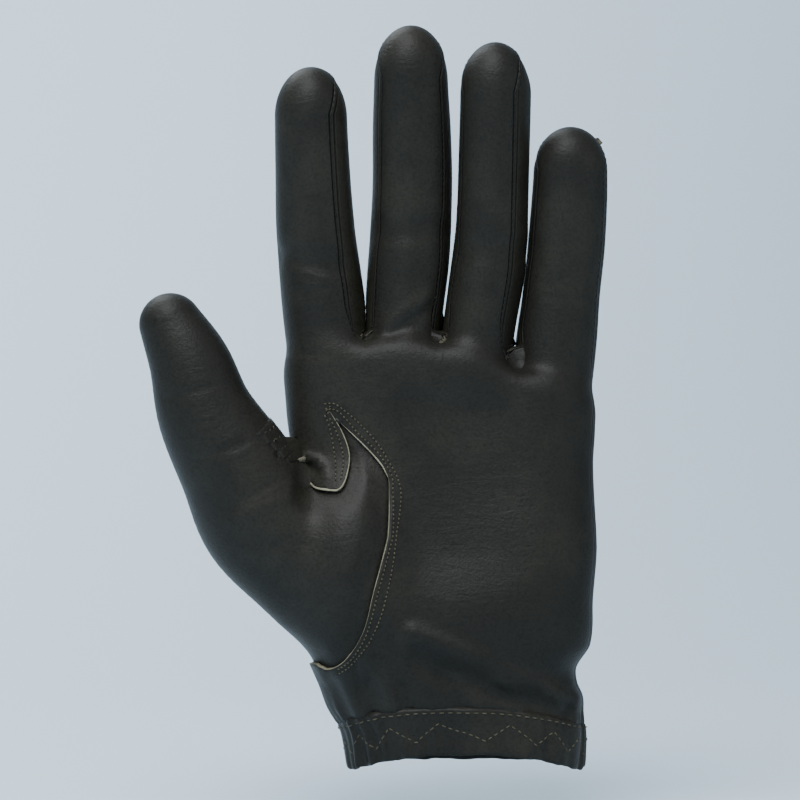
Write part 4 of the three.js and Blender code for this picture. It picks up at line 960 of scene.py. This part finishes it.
def build_thumb():
    """The thumb leather: guide rings from under the palm leather out to the tip, joined, settled and relaxed.

    Under the palm leather it follows the trank's surface. Inside the thumb hole it rises out of the lap and
    passes smoothly to the whole hand's surface; relaxing moves each point part of the way to the middle of
    its neighbours.
    """
    curve, lean, turn = seam_at(np.arange(THUMB_COLUMNS_FINE) / THUMB_COLUMNS_FINE)
    lap = on_body(curve[:, 2], curve[:, 3], lean)
    first = rib_points(THUMB_RIBS[0], turn)
    rings = [lap + (first - lap) * share for share in (0.0, 0.33, 0.67)]
    rings += [rib_points(rib, turn) for rib in THUMB_RIBS]
    ox, oz, ix, iz, y, _ = THUMB_RIBS[-1]
    middle, tip, last = np.array([(ox + ix) / 2, y, (oz + iz) / 2]), np.array(THUMB_TIP), rings[-1]
    for up in (0.3, 0.55, 0.75, 0.9, 0.97):
        rings.append(middle + (tip - middle) * up + (last - middle) * math.sqrt(1 - up * up))
    rings.append(np.broadcast_to(tip, last.shape))
    rings = np.stack(rings)
    run = np.concatenate([[0], np.cumsum(np.linalg.norm(np.diff(rings, axis=0), axis=2).mean(1))])
    at = np.linspace(0, run[-1], THUMB_ROWS)
    i = np.clip(np.searchsorted(run, at, side="right") - 1, 0, len(run) - 2)
    t = ((at - run[i]) / (run[i + 1] - run[i]))[:, None, None]
    points = rings[i] * (1 - t) + rings[i + 1] * t
    past = np.repeat(smooth((at - run[2]) / (run[3] - run[2])), THUMB_COLUMNS_FINE)

    for rounds in (5, *[1] * 8, 3):
        inside, rise = hole_depth(points)
        web = web_share(points)
        whole = np.maximum(smooth(inside / rise), past)

        def blended(p):
            trank, thumb = trank_field(p), thumb_field(p)
            blend = THUMB_BLEND + (WEB_BLEND - THUMB_BLEND) * smooth((p[:, 2] - 72) / 14)
            hand = soft_min(trank, thumb, blend) - thumb_creases(p)
            own = trank + (hand - trank) * whole
            return own + (thumb - own) * web

        points = settle(blended, points, rounds)
        if rounds == 1:
            around = (np.roll(points, 1, 1) + np.roll(points, -1, 1)) / 2
            middle_of = 0.6 * (points[:-2] + points[2:]) / 2 + 0.4 * around[1:-1]
            loose = 0.6 * (1 - web.reshape(points.shape[:2])[1:-1, :, None])
            points[1:-1] += loose * (middle_of - points[1:-1])
    drop = LAP_DROP * (1 - np.maximum(np.maximum(smooth(inside / rise / 0.8), past), web))
    points = points - normals_of(blended, points) * drop.reshape(points.shape[:2])[..., None]
    points = push_under(points)
    points[-1] = points[-1].mean(0)
    skin = Skin()
    ids = skin.add(points)
    ids[-1] = ids[-1, 0]
    skin.quads(np.concatenate([ids, ids[:, :1]], 1), flip=True)
    flat, quads = skin.result()
    side = np.abs(np.arange(THUMB_COLUMNS_FINE) / THUMB_COLUMNS_FINE - BACK_SEAM_SHARE)
    girth = np.linalg.norm(np.diff(np.concatenate([points, points[:, :1]], 1), axis=1), axis=2)
    girth = girth.sum(1)[:, None]
    return flat, without_web(flat, quads), np.minimum(side * girth, FAR).ravel()


def hem_wave(turn, up):
    """Puckers of the hem: two uneven cosines round the wrist that grow towards its lower edge."""
    lean = 0.05 * np.sin(8 * turn + 0.7) * up
    fine = (0.20 * (0.6 + 0.4 * np.sin(7 * turn + 2.0))
            * np.cos(HEM_PUCKERS * (turn + lean) + 2.2 * np.sin(4 * turn)))
    broad = (0.62 * (0.55 + 0.45 * np.sin(5 * turn + 1.3))
             * np.cos(23 * (turn + lean) + 2.4 * np.sin(3 * turn)))
    fold = -1.1 * np.exp(-((turn % (2 * np.pi) - HEM_FOLD - 0.05 * up) / 0.045) ** 2) * np.exp(-up / 0.6)
    return (fine + broad) * (1.2 - 0.65 * up) + fold


def build_hem():
    """The gathered hem: a folded band whose profile, up and depth, is carried round the wrist."""
    profile = closed_curve(HEM_PROFILE, 4)
    turn = np.linspace(0, 2 * np.pi, HEM_COLUMNS, endpoint=False)[:, None]
    up, depth = profile[:, 0][None], profile[:, 1][None]
    edge = 0.14 * np.cos(19 * turn + 1.7 * np.sin(3 * turn) + 0.6) + 0.05 * np.cos(HEM_PUCKERS * turn + 0.4)
    z = HEM_BOTTOM + (HEM_TOP - HEM_BOTTOM) * up + arch_at(turn) + edge * np.clip(1 - up, 0, 1) ** 2
    guess = body_point(z, turn + 0 * up)

    def smooth_wrist(p):
        return body_field(p)

    points = settle(smooth_wrist, guess, 5)
    out = HEM_PROUD * np.clip(1 - up, 0, 1) - depth + hem_wave(turn, up)
    points = points + normals_of(smooth_wrist, points) * out[..., None]
    skin = Skin()
    ids = skin.add(points)
    skin.quads(np.concatenate([ids, ids[:1]]), flip=True)
    flat, quads = skin.result()
    return flat, quads, np.broadcast_to(up * (HEM_TOP - HEM_BOTTOM), points.shape[:2]).ravel()


def stitch_mesh(name, places, along, out, length, radius, rings=5, sides=8):
    """Short stitches as one mesh: a capsule of a few rings at each place, along its seam, on its surface."""
    along = along / np.linalg.norm(along, axis=1)[:, None]
    out = out - along * (out * along).sum(1)[:, None]
    out /= np.linalg.norm(out, axis=1)[:, None]
    across = np.cross(out, along)
    t = np.linspace(-1, 1, rings)
    # a capsule that bows down into the leather at its two ends
    width = radius * np.sqrt(np.clip(1 - (0.94 * t) ** 6, 0, 1))
    sink = -0.9 * radius * np.abs(t) ** 3
    angle = np.linspace(0, 2 * np.pi, sides, endpoint=False)
    local = np.stack(np.broadcast_arrays((t * length / 2)[:, None], width[:, None] * np.cos(angle),
                                         sink[:, None] + width[:, None] * np.sin(angle)), -1).reshape(-1, 3)
    points = (places[:, None] + local[None, :, :1] * along[:, None] + local[None, :, 1:2] * across[:, None]
              + local[None, :, 2:] * out[:, None])
    ring_ids = np.arange(rings * sides).reshape(rings, sides)
    ring_ids = np.concatenate([ring_ids, ring_ids[:, :1]], 1)
    quads = np.stack([ring_ids[:-1, :-1], ring_ids[1:, :-1], ring_ids[1:, 1:], ring_ids[:-1, 1:]], -1)
    quads = quads.reshape(-1, 4)
    half = sides // 2
    caps = []
    for base, forward in ((0, True), ((rings - 1) * sides, False)):
        for k in range(half - 1):
            q = [base + k, base + k + 1, base + sides - 2 - k, base + sides - 1 - k]
            caps.append(q if forward else q[::-1])
    quads = np.concatenate([quads, np.array(caps)])
    size = rings * sides
    all_quads = (quads[None] + (np.arange(len(places)) * size)[:, None, None]).reshape(-1, 4)
    return make_object(name, points.reshape(-1, 3), all_quads)


def spaced(line, pitch, start=0.5):
    """Even places along a line of points, and the direction there."""
    run = np.concatenate([[0], np.cumsum(np.linalg.norm(np.diff(line, axis=0), axis=1))])
    count = max(int(run[-1] / pitch), 2)
    at = (np.arange(count) + start) * run[-1] / count
    place = np.stack([np.interp(at, run, line[:, k]) for k in range(3)], -1)
    ahead = np.stack([np.interp(np.minimum(at + 0.4, run[-1]), run, line[:, k]) for k in range(3)], -1)
    behind = np.stack([np.interp(np.maximum(at - 0.4, 0), run, line[:, k]) for k in range(3)], -1)
    return place, ahead - behind


def onto(field, line):
    """Puts a line of points on a surface, and gives the normals there."""
    line = settle(field, line, 5)
    return line, normals_of(field, line)


def in_front(xz, side):
    """Points of the hand's palm or back that show at these places in front view."""
    x, z = np.asarray(xz)[:, 0], np.asarray(xz)[:, 1]
    points = on_body(x, z, np.full(len(x), float(side)))
    for _ in range(6):
        points = settle(trank_field, points, 1)
        away = EYE_DISTANCE / (EYE_DISTANCE + points[:, 1])
        points[:, 0], points[:, 2] = EYE_X + (x - EYE_X) / away, EYE_Z + (z - EYE_Z) / away
    return points


def new_group(name, outputs, inputs=()):
    """A node group with value inputs and the named outputs, and its nodes to build with."""
    group = bpy.data.node_groups.new(name, "ShaderNodeTree")
    for label, kind, default in inputs:
        socket = group.interface.new_socket(label, in_out="INPUT", socket_type=kind)
        socket.default_value = default
    for label, kind in outputs:
        group.interface.new_socket(label, in_out="OUTPUT", socket_type=kind)
    return group, Nodes(group)


class Nodes:
    """Short ways to add and join nodes in one tree."""

    def __init__(self, tree):
        self.tree = tree

    def add(self, kind, inputs=None, **settings):
        node = self.tree.nodes.new(kind)
        for key, value in settings.items():
            setattr(node, key, value)
        for key, value in (inputs or {}).items():
            if isinstance(value, bpy.types.NodeSocket):
                self.tree.links.new(value, node.inputs[key])
            else:
                node.inputs[key].default_value = value
        return node

    def math(self, operation, a, b=0.0, c=0.0):
        node = self.add("ShaderNodeMath", {0: a, 1: b, 2: c}, operation=operation)
        return node.outputs[0]

    def step(self, value, low, high, from_value=0.0, to_value=1.0):
        """Turns a value from low..high into from..to, smoothly and held past the ends."""
        node = self.add("ShaderNodeMapRange", {"Value": value, "From Min": low, "From Max": high,
                                               "To Min": from_value, "To Max": to_value},
                        interpolation_type="SMOOTHSTEP", clamp=True)
        return node.outputs["Result"]

    def mix(self, factor, a, b):
        node = self.add("ShaderNodeMix", {0: factor, 6: a, 7: b}, data_type="RGBA")
        return node.outputs[2]

    def noise(self, vector, scale, detail=4.0, rough=0.5, distortion=0.0):
        return self.add("ShaderNodeTexNoise", {"Vector": vector, "Scale": scale, "Detail": detail,
                                               "Roughness": rough, "Distortion": distortion}).outputs["Fac"]


def attribute(nodes, name):
    return nodes.add("ShaderNodeAttribute", attribute_name=name).outputs["Fac"]


def grain_group():
    """Leather grain: height of pebbles and fine wrinkles, and a mask of worn places, by place."""
    group, n = new_group("leather_grain", (("Height", "NodeSocketFloat"), ("Wrinkle", "NodeSocketFloat"),
                                           ("Wear", "NodeSocketFloat"), ("Cloud", "NodeSocketFloat")),
                         (("Vector", "NodeSocketVector", (0, 0, 0)), ("Grain", "NodeSocketFloat", 1500.0)))
    source = n.add("NodeGroupInput")
    vector, scale = source.outputs["Vector"], source.outputs["Grain"]
    bend = n.add("ShaderNodeTexNoise", {"Vector": vector, "Scale": 260.0, "Detail": 2.0})
    moved = n.add("ShaderNodeVectorMath", {0: bend.outputs["Color"], 1: (0.0012, 0.0012, 0.0012)},
                  operation="MULTIPLY")
    place = n.add("ShaderNodeVectorMath", {0: vector, 1: moved.outputs[0]}, operation="ADD").outputs[0]
    pebble = n.add("ShaderNodeTexVoronoi", {"Vector": place, "Scale": scale}, feature="SMOOTH_F1")
    pebble = pebble.outputs["Distance"]
    fine = n.noise(place, 4200.0, 3.0, 0.6)
    pores = n.noise(place, 1400.0, 2.0, 0.5)
    height = n.math("MULTIPLY_ADD", pebble, -0.55,
                    n.math("MULTIPLY_ADD", fine, 0.3, n.math("MULTIPLY", pores, 0.45)))
    stretched = n.add("ShaderNodeMapping", {"Vector": place, "Scale": (0.55, 0.8, 2.2)}).outputs[0]
    wrinkle = n.noise(stretched, 150.0, 5.0, 0.55, 0.6)
    ridged = n.math("ABSOLUTE", n.math("MULTIPLY_ADD", wrinkle, 2.0, -1.0))
    wear = n.step(n.noise(place, 38.0, 6.0, 0.62), 0.44, 0.66)
    cloud = n.noise(place, 21.0, 3.0, 0.55)
    out = n.add("NodeGroupOutput")
    for label, value in (("Height", height), ("Wrinkle", ridged), ("Wear", wear), ("Cloud", cloud)):
        group.links.new(value, out.inputs[label])
    return group


LOOK = "look_"


def new_material(name):
    material = bpy.data.materials.new(LOOK + name)
    material.use_nodes = True
    material.node_tree.nodes.clear()
    n = Nodes(material.node_tree)
    shader = n.add("ShaderNodeBsdfPrincipled")
    out = n.add("ShaderNodeOutputMaterial")
    n.tree.links.new(shader.outputs[0], out.inputs[0])
    return material, n, shader


def leather_material(name, settings, grain, dark, light, seam_strength=1.0):
    """Satin leather: grain and wrinkles as bump, worn olive patches, and a stitched groove along its seam;
    painted shade darkens the grain's hollows and the groove, and a painted highlight lightens the seam's lip.
    """
    material, n, shader = new_material(name)
    place = n.add("ShaderNodeTexCoord").outputs["Object"]
    parts = n.add("ShaderNodeGroup", node_tree=grain)
    n.tree.links.new(place, parts.inputs["Vector"])
    parts.inputs["Grain"].default_value = settings.grain_density
    seam = attribute(n, "seam")
    groove = n.math("MULTIPLY",
                    n.step(n.math("ABSOLUTE", n.math("SUBTRACT", seam, GROOVE_AT)), 0.0, 0.5, 1.0, 0.0),
                    seam_strength)
    # painted highlight: the leather lightens along its last half millimetre at the seam, where its lip
    # catches the light
    lip_highlight_mask = n.step(seam, 0.0, 0.55, 1.0, 0.0)
    tone = n.math("MULTIPLY_ADD", parts.outputs["Wear"], 0.5,
                  n.math("MULTIPLY", parts.outputs["Cloud"], 0.55))
    base = n.mix(tone, (*dark, 1.0), (*light, 1.0))
    # painted shade and light: the colour darkens in the grain's hollows and lightens a little on the pebbles'
    # tops
    painted_pit_shade = n.step(parts.outputs["Height"], -0.12, 0.28, 0.72, 1.08)
    shaded = n.add("ShaderNodeVectorMath", {0: base, "Scale": painted_pit_shade}, operation="SCALE").outputs[0]
    # painted shade: the stitched groove along the seam is darkened in the colour, as well as cut in by its
    # bump
    painted_groove_shade = n.mix(n.math("MULTIPLY", groove, 0.55), shaded, (*[c * 0.35 for c in dark], 1.0))
    painted_lip_highlight = n.mix(n.math("MULTIPLY", lip_highlight_mask, 0.35), painted_groove_shade, (*[c * 1.7 for c in light], 1.0))
    n.tree.links.new(painted_lip_highlight, shader.inputs["Base Color"])
    shader.inputs["Roughness"].default_value = settings.roughness
    shader.inputs["Specular IOR Level"].default_value = 0.15
    low = n.add("ShaderNodeBump", {"Strength": 0.22, "Distance": 0.0005, "Height": parts.outputs["Wrinkle"]})
    cut = n.add("ShaderNodeBump", {"Strength": 0.9, "Distance": 0.0005,
                                   "Height": n.math("SUBTRACT", 1.0, groove), "Normal": low.outputs[0]})
    top = n.add("ShaderNodeBump", {"Strength": 0.45, "Distance": 0.00022,
                                   "Height": parts.outputs["Height"], "Normal": cut.outputs[0]})
    n.tree.links.new(top.outputs[0], shader.inputs["Normal"])
    return material


def fibre_material(name, colour, pale=None, mask=None, roughness=0.9, scale=2600.0, depth=0.0002):
    """A matt, fibrous surface: thread, suede or a cut edge, with fine noise in its colour and bump."""
    material, n, shader = new_material(name)
    place = n.add("ShaderNodeTexCoord").outputs["Object"]
    fuzz = n.noise(place, scale, 4.0, 0.65)
    patch = n.noise(place, scale * 0.12, 3.0, 0.5)
    tone = n.step(n.math("ADD", fuzz, patch), 0.75, 1.3)
    base = n.mix(tone, (*[c * 0.7 for c in colour], 1.0), (*[c * 1.2 for c in colour], 1.0))
    if pale is not None:
        bright = n.mix(tone, (*[c * 0.62 for c in pale], 1.0), (*[min(c * 1.2, 1) for c in pale], 1.0))
        base = n.mix(n.step(attribute(n, mask), 0.02, 0.5, 1.0, 0.0), base, bright)
    n.tree.links.new(base, shader.inputs["Base Color"])
    shader.inputs["Roughness"].default_value = roughness
    shader.inputs["Specular IOR Level"].default_value = 0.2
    bump = n.add("ShaderNodeBump", {"Strength": 0.6, "Distance": depth, "Height": fuzz})
    n.tree.links.new(bump.outputs[0], shader.inputs["Normal"])
    return material


def materials_of(settings):
    """All materials by name, made once."""
    made = {m.name[len(LOOK):]: m for m in bpy.data.materials if m.name.startswith(LOOK)}
    if made:
        return made
    grain = grain_group()
    dark, light = settings.leather_dark, settings.leather_light
    leather_material("glove_leather", settings, grain, dark, light)
    strip_dark, strip_light = [c * k for c, k in zip(dark, (1.25, 1.15, 0.9))], [c * 1.15 for c in light]
    leather_material("fourchette_leather", settings, grain, strip_dark, strip_light, 0.5)
    leather_material("hem_leather", settings, grain, dark, light, 0.0)
    fibre_material("raw_edge", [c * 1.4 for c in light], settings.edge_colour, "hole")
    fibre_material("suede_inside", (0.1, 0.09, 0.065), roughness=0.95, scale=1800.0, depth=0.0003)
    fibre_material("thread", settings.thread_colour, roughness=0.75, scale=3800.0, depth=0.00012)
    # dark thread for the finger seams, and painted shade for the thumb's needle holes
    fibre_material("thread_dark", [c * 0.16 for c in settings.thread_colour], roughness=0.7, scale=3800.0)
    return {m.name[len(LOOK):]: m for m in bpy.data.materials if m.name.startswith(LOOK)}


class GloveSettings(bpy.types.PropertyGroup):
    wall: FloatProperty(
        name="Leather wall", description="Thickness of the leather",
        default=0.001, min=0.0005, max=0.002, unit="LENGTH")
    roughness: FloatProperty(
        name="Roughness", description="How dull the leather's surface is",
        default=0.47, min=0.1, max=1.0, subtype="FACTOR")
    grain_density: FloatProperty(
        name="Grain density", description="Pebbles of the grain to a metre",
        default=1500.0, min=300.0, max=4000.0)
    leather_dark: FloatVectorProperty(
        name="Leather, dark", description="Colour of the unworn leather",
        size=3, default=(0.0095, 0.0093, 0.0078), subtype="COLOR")
    leather_light: FloatVectorProperty(
        name="Leather, light", description="Colour of the worn leather",
        size=3, default=(0.0205, 0.0193, 0.0145), subtype="COLOR")
    thread_colour: FloatVectorProperty(
        name="Thread", description="Colour of the thumb's thread",
        size=3, default=(0.080, 0.073, 0.046), subtype="COLOR")
    edge_colour: FloatVectorProperty(
        name="Cut edge", description="Colour of the raw edge at the thumb hole",
        size=3, default=(0.235, 0.215, 0.150), subtype="COLOR")
    stitch_pitch: FloatProperty(
        name="Stitch pitch", description="Distance between the finger seams' stitches",
        default=0.0018, min=0.001, max=0.005, unit="LENGTH")
    backdrop: FloatVectorProperty(
        name="Backdrop", description="Colour of the floor and backdrop",
        size=3, default=(0.64, 0.765, 0.86), subtype="COLOR")


class GLOVE_OT_trank(bpy.types.Operator):
    """Build the palm and back leather with the thumb hole"""
    bl_idname = "glove.trank"
    bl_label = "Palm and Back Leather"

    def execute(self, context):
        settings = context.scene.glove_settings
        mats = materials_of(settings)
        points, quads, triangles, seam, hole = cut_hole(*build_trank_grid())
        piece = make_object("trank", points, quads, triangles, {"seam": seam, "hole": hole})
        add_wall(piece, settings.wall / MM, rim_slot=1, inside_slot=2)
        finish_piece(piece, ("palm_panel", "back_panel"),
                     [mats["glove_leather"], mats["raw_edge"], mats["suede_inside"]])
        return {"FINISHED"}


class GLOVE_OT_fourchettes(bpy.types.Operator):
    """Build the three strips between the fingers"""
    bl_idname = "glove.fourchettes"
    bl_label = "Fourchettes"

    def execute(self, context):
        settings = context.scene.glove_settings
        mats = materials_of(settings)
        for index in range(3):
            name = f"{FINGERS[index]['name']}_{FINGERS[index + 1]['name']}"
            points, quads, seam = build_strip(index)
            piece = make_object("strip_" + name, points, quads, None, {"seam": seam, "hole": seam * 0 + FAR})
            add_wall(piece, 0.6 * settings.wall / MM, rim_slot=1, inside_slot=2)
            finish_piece(piece, ("fourchette_" + name,),
                         [mats["fourchette_leather"], mats["raw_edge"], mats["suede_inside"]])
        return {"FINISHED"}


class GLOVE_OT_thumb(bpy.types.Operator):
    """Build the set-in thumb leather, lapped under the palm leather"""
    bl_idname = "glove.thumb"
    bl_label = "Thumb"

    def execute(self, context):
        settings = context.scene.glove_settings
        mats = materials_of(settings)
        points, quads, seam = build_thumb()
        piece = make_object("thumb_leather", points, quads, None, {"seam": seam, "hole": seam * 0 + FAR})
        add_wall(piece, settings.wall / MM, rim_slot=1, inside_slot=2)
        finish_piece(piece, ("thumb_palm_half", "thumb_back_half"),
                     [mats["glove_leather"], mats["raw_edge"], mats["suede_inside"]])
        flat, quads = build_web()
        far = np.full(len(flat), FAR)
        web = make_object("thumb_web", flat, quads, None, {"seam": far, "hole": far})
        add_wall(web, 0.5 * settings.wall / MM, rim_slot=0, inside_slot=2)
        finish_piece(web,
                     materials=[mats["glove_leather"], mats["raw_edge"], mats["suede_inside"]])
        return {"FINISHED"}


class GLOVE_OT_hem(bpy.types.Operator):
    """Build the gathered wrist hem"""
    bl_idname = "glove.hem"
    bl_label = "Wrist Hem"

    def execute(self, context):
        settings = context.scene.glove_settings
        mats = materials_of(settings)
        points, quads, up = build_hem()
        piece = make_object("hem_band", points, quads, None, {"seam": up * 0 + FAR, "hole": up * 0 + FAR})
        finish_piece(piece, ("wrist_hem",), [mats["hem_leather"]])
        return {"FINISHED"}


class GLOVE_OT_stitches(bpy.types.Operator):
    """Sew the finger seams, the thumb seam and the hem"""
    bl_idname = "glove.stitches"
    bl_label = "Stitches"

    def execute(self, context):
        settings = context.scene.glove_settings
        mats = materials_of(settings)
        places, along, out = finger_stitches(settings.stitch_pitch / MM)
        finger = stitch_mesh("stitches_fingers", places, along, out, 1.25, 0.17)
        finish_piece(finger, materials=[mats["thread_dark"]])
        places, along, out = thumb_stitches(1.2)
        knots = stitch_mesh("stitches_thumb", places + out * 0.03, along, out, 0.72, 0.2)
        finish_piece(knots, materials=[mats["thread"]])
        # painted shade: dark capsules sunk between the knots stand in for the shade inside the needle holes
        places, along, out = thumb_stitches(1.2, 1.0)
        hole_shade = stitch_mesh("stitch_holes_thumb", places - out * 0.03, along, out, 0.44, 0.27)
        finish_piece(hole_shade, materials=[mats["thread_dark"]])
        for name, line, widths in (("raw_edge_tab", TAB_EDGE, TAB_WIDTHS),
                                   ("raw_edge_palm", RIGHT_EDGE, RIGHT_WIDTHS)):
            rim = edge_strip(name, in_front(closed_curve(line, 24), -1), widths)
            finish_piece(rim, materials=[mats["raw_edge"]])
        places, along, out = hem_stitches()
        hem = stitch_mesh("stitches_hem", places, along, out, 1.25, 0.17)
        finish_piece(hem, materials=[mats["thread"]])
        return {"FINISHED"}


def edge_strip(name, line, widths):
    """The cut edge where it shows pale: a flattened thread along a line, with its half width along it."""
    place, along = spaced(line, 0.3)
    out = normals_of(trank_field, place)
    along /= np.linalg.norm(along, axis=1)[:, None]
    across = np.cross(out, along)
    t = np.linspace(0, 1, len(place))
    wide = np.interp(t, *zip(*widths))
    angle = np.linspace(0, 2 * np.pi, 8, endpoint=False)
    ring = (across[:, None] * (np.cos(angle) * wide[:, None])[..., None]
            + out[:, None] * (0.16 * np.sin(angle) * np.ones_like(wide)[:, None] - 0.10)[..., None])
    points = place[:, None] + ring
    skin = Skin()
    ids = skin.add(points)
    skin.quads(np.concatenate([ids, ids[:, :1]], 1))
    flat, quads = skin.result()
    ends = [[ids[0, k], ids[0, k + 1], ids[0, 6 - k], ids[0, 7 - k]] for k in range(3)]
    ends += [[ids[-1, 7 - k], ids[-1, 6 - k], ids[-1, k + 1], ids[-1, k]] for k in range(3)]
    return make_object(name, flat, np.concatenate([quads, np.array(ends)]), None,
                       {"hole": np.zeros(len(flat))})


def finger_stitches(pitch):
    """Stitches one millimetre in from the edge of every finger seam, on the palm side and the back."""
    found = []
    ups = np.linspace(0.02, 0.985, 160)
    for facing in (-1, 1):
        for i in range(4):
            for end in (-1, 1):
                if i == 0 and end < 0:
                    continue
                inner = finger_points(i, facing, end * 0.86, ups)
                rim = finger_points(i, facing, float(end), ups)
                rim, inner = settle(trank_field, rim), settle(trank_field, inner)
                toward = inner - rim
                reach = np.linalg.norm(toward, axis=1)[:, None] + 1e-6
                line, _ = onto(trank_field, rim + toward / reach * np.minimum(GROOVE_AT, reach * 0.9))
                place, along = spaced(line, pitch)
                place, out = onto(trank_field, place)
                found.append((place - out * 0.05, along, out))
    return tuple(np.concatenate(part) for part in zip(*found))


def thumb_rows():
    """The lines that the thumb's stitches follow: rows on the palm side, and rows beside the hole's back."""
    rows = [in_front(closed_curve(row, 20), -1) for row in PALM_STITCH_ROWS]
    loop = closed_curve(BACK_HOLE)
    tangent = np.gradient(loop, axis=0)
    tangent /= np.linalg.norm(tangent, axis=1)[:, None]
    for offset in (1.0, 2.5):
        line = loop + np.stack([-tangent[:, 1], tangent[:, 0]], -1) * -offset
        if loop_distance(loop, line[:1, 0], line[:1, 1])[0][0] < 0:
            line = 2 * loop - line
        side_limit = np.interp(line[:, 1], WRIST_AND_PALM["z"], WRIST_AND_PALM["left"]) + 0.6
        rows.append(in_front(line[line[:, 0] > side_limit], 1))
    return rows


def thumb_stitches(pitch, shift=0.5):
    """Places, directions and outward directions of the thumb's stitches."""
    found = []
    for row in thumb_rows():
        place, along = spaced(row, pitch, shift)
        found.append((*onto(trank_field, place), along))
    places, out, along = (np.concatenate(part) for part in zip(*found))
    return places, along, out


def hem_surface(turn, up):
    """Points on the hem's outer face and their outward directions."""
    z = HEM_BOTTOM + (HEM_TOP - HEM_BOTTOM) * up + arch_at(turn)
    points = settle(body_field, body_point(z, turn), 5)
    out = normals_of(body_field, points)
    return points + out * (HEM_PROUD * (1 - up) + HEM_FACE + hem_wave(turn, up))[:, None], out


def hem_stitches():
    """A line of stitches along the hem's top, and a zigzag below it."""
    turn = np.linspace(0, 2 * np.pi, 1400)
    line, _ = hem_surface(turn, np.full(len(turn), 0.93))
    place, along = spaced(line, 2.3)
    found = [(place, along)]
    wave = 2 * np.abs(2 * ((turn * ZIGZAG_TURNS / (2 * np.pi)) % 1) - 1) - 1
    line, _ = hem_surface(turn, 0.50 + wave * 0.19)
    place, along = spaced(line, 1.9)
    found.append((place, along))
    places = np.concatenate([f[0] for f in found])
    along = np.concatenate([f[1] for f in found])
    return places, along, normals_of(body_field, places)


class GLOVE_OT_stage(bpy.types.Operator):
    """Set up the floor, the light and the camera"""
    bl_idname = "glove.stage"
    bl_label = "Stage"

    def execute(self, context):
        settings = context.scene.glove_settings
        scene = context.scene
        turn = np.linspace(0, np.pi / 2, 24)
        low, radius = -0.016, 0.9
        y = np.concatenate([[-1.6, -0.4], 0.35 + radius * np.sin(turn), [0.35 + radius]])
        z = np.concatenate([[low, low], low + radius * (1 - np.cos(turn)), [2.6]])
        x = np.linspace(-2.4, 2.4, 9)
        points = np.stack(np.broadcast_arrays(x[None, :], y[:, None], z[:, None]), -1) / MM
        skin = Skin()
        skin.quads(skin.add(points))
        flat, quads = skin.result()
        floor = make_object("backdrop", flat, quads)
        material, n, shader = new_material("backdrop")
        place = n.add("ShaderNodeTexCoord").outputs["Object"]
        parts = n.add("ShaderNodeSeparateXYZ", {0: place})
        # painted light: the backdrop is lighter towards the top left and darker towards the bottom right, as
        # the light falls off
        painted_light_falloff = n.step(n.math("SUBTRACT", parts.outputs[2], parts.outputs[0]), -0.4, 0.8)
        colour = tuple(settings.backdrop)
        base = n.mix(painted_light_falloff, (*[c * 0.74 for c in colour], 1.0), (*[min(c * 1.16, 1.0) for c in colour], 1.0))
        n.tree.links.new(base, shader.inputs["Base Color"])
        shader.inputs["Roughness"].default_value = 0.9
        shader.inputs["Specular IOR Level"].default_value = 0.1
        floor.data.materials.append(material)
        add_area(scene, "key", (-0.3, -0.85, 1.2), (-0.02, 0, 0.1), 0.9, 30.0, (0.94, 0.97, 1.0))
        add_area(scene, "fill", (0.95, -0.75, 0.45), (0, 0, 0.1), 0.9, 3.0, (0.93, 0.96, 1.0))
        add_area(scene, "top", (-0.5, 0.35, 1.1), (0, 0, 0.12), 0.8, 14.0, (0.92, 0.96, 1.0))
        world = bpy.data.worlds.new("soft_room")
        world.use_nodes = True
        background = world.node_tree.nodes["Background"]
        background.inputs[0].default_value = (0.74, 0.86, 1.0, 1.0)
        background.inputs[1].default_value = 0.36
        scene.world = world
        eye = bpy.data.objects.new("camera", bpy.data.cameras.new("camera"))
        eye.data.lens = eye.data.sensor_width / 2 / math.tan(math.atan(VIEW_HEIGHT / 2 / EYE_DISTANCE))
        eye.location = (EYE_X * MM, -EYE_DISTANCE * MM, EYE_Z * MM)
        eye.rotation_euler = (math.pi / 2, 0, 0)
        scene.collection.objects.link(eye)
        scene.camera = eye
        return {"FINISHED"}


def add_area(scene, name, place, target, size, power, colour):
    """A square soft light at a place, facing a target."""
    light = bpy.data.lights.new(name, "AREA")
    light.shape, light.size, light.energy, light.color = "SQUARE", size, power, colour
    lamp = bpy.data.objects.new(name, light)
    lamp.location = place
    dx, dy, dz = (t - p for t, p in zip(target, place))
    lamp.rotation_euler = (math.atan2(math.hypot(dx, dy), -dz), 0, math.atan2(dy, dx) - math.pi / 2)
    scene.collection.objects.link(lamp)


class GLOVE_PT_panel(bpy.types.Panel):
    """The glove's settings and steps"""
    bl_label = "Driving Glove"
    bl_idname = "GLOVE_PT_panel"
    bl_space_type = "VIEW_3D"
    bl_region_type = "UI"
    bl_category = "Driving Glove"

    def draw(self, context):
        settings = context.scene.glove_settings
        for name in GloveSettings.__annotations__:
            self.layout.prop(settings, name)
        for operator in OPERATORS:
            self.layout.operator(operator.bl_idname)


OPERATORS = (GLOVE_OT_trank, GLOVE_OT_fourchettes, GLOVE_OT_thumb, GLOVE_OT_hem, GLOVE_OT_stitches,
             GLOVE_OT_stage)


def register():
    bpy.utils.register_class(GloveSettings)
    bpy.types.Scene.glove_settings = PointerProperty(type=GloveSettings)
    for operator in OPERATORS:
        bpy.utils.register_class(operator)
    bpy.utils.register_class(GLOVE_PT_panel)


def unregister():
    bpy.utils.unregister_class(GLOVE_PT_panel)
    for operator in reversed(OPERATORS):
        bpy.utils.unregister_class(operator)
    del bpy.types.Scene.glove_settings
    bpy.utils.unregister_class(GloveSettings)


def main():
    register()
    bpy.ops.glove.trank()
    bpy.ops.glove.fourchettes()
    bpy.ops.glove.thumb()
    bpy.ops.glove.hem()
    bpy.ops.glove.stitches()
    bpy.ops.glove.stage()


if __name__ == "__main__":
    main()
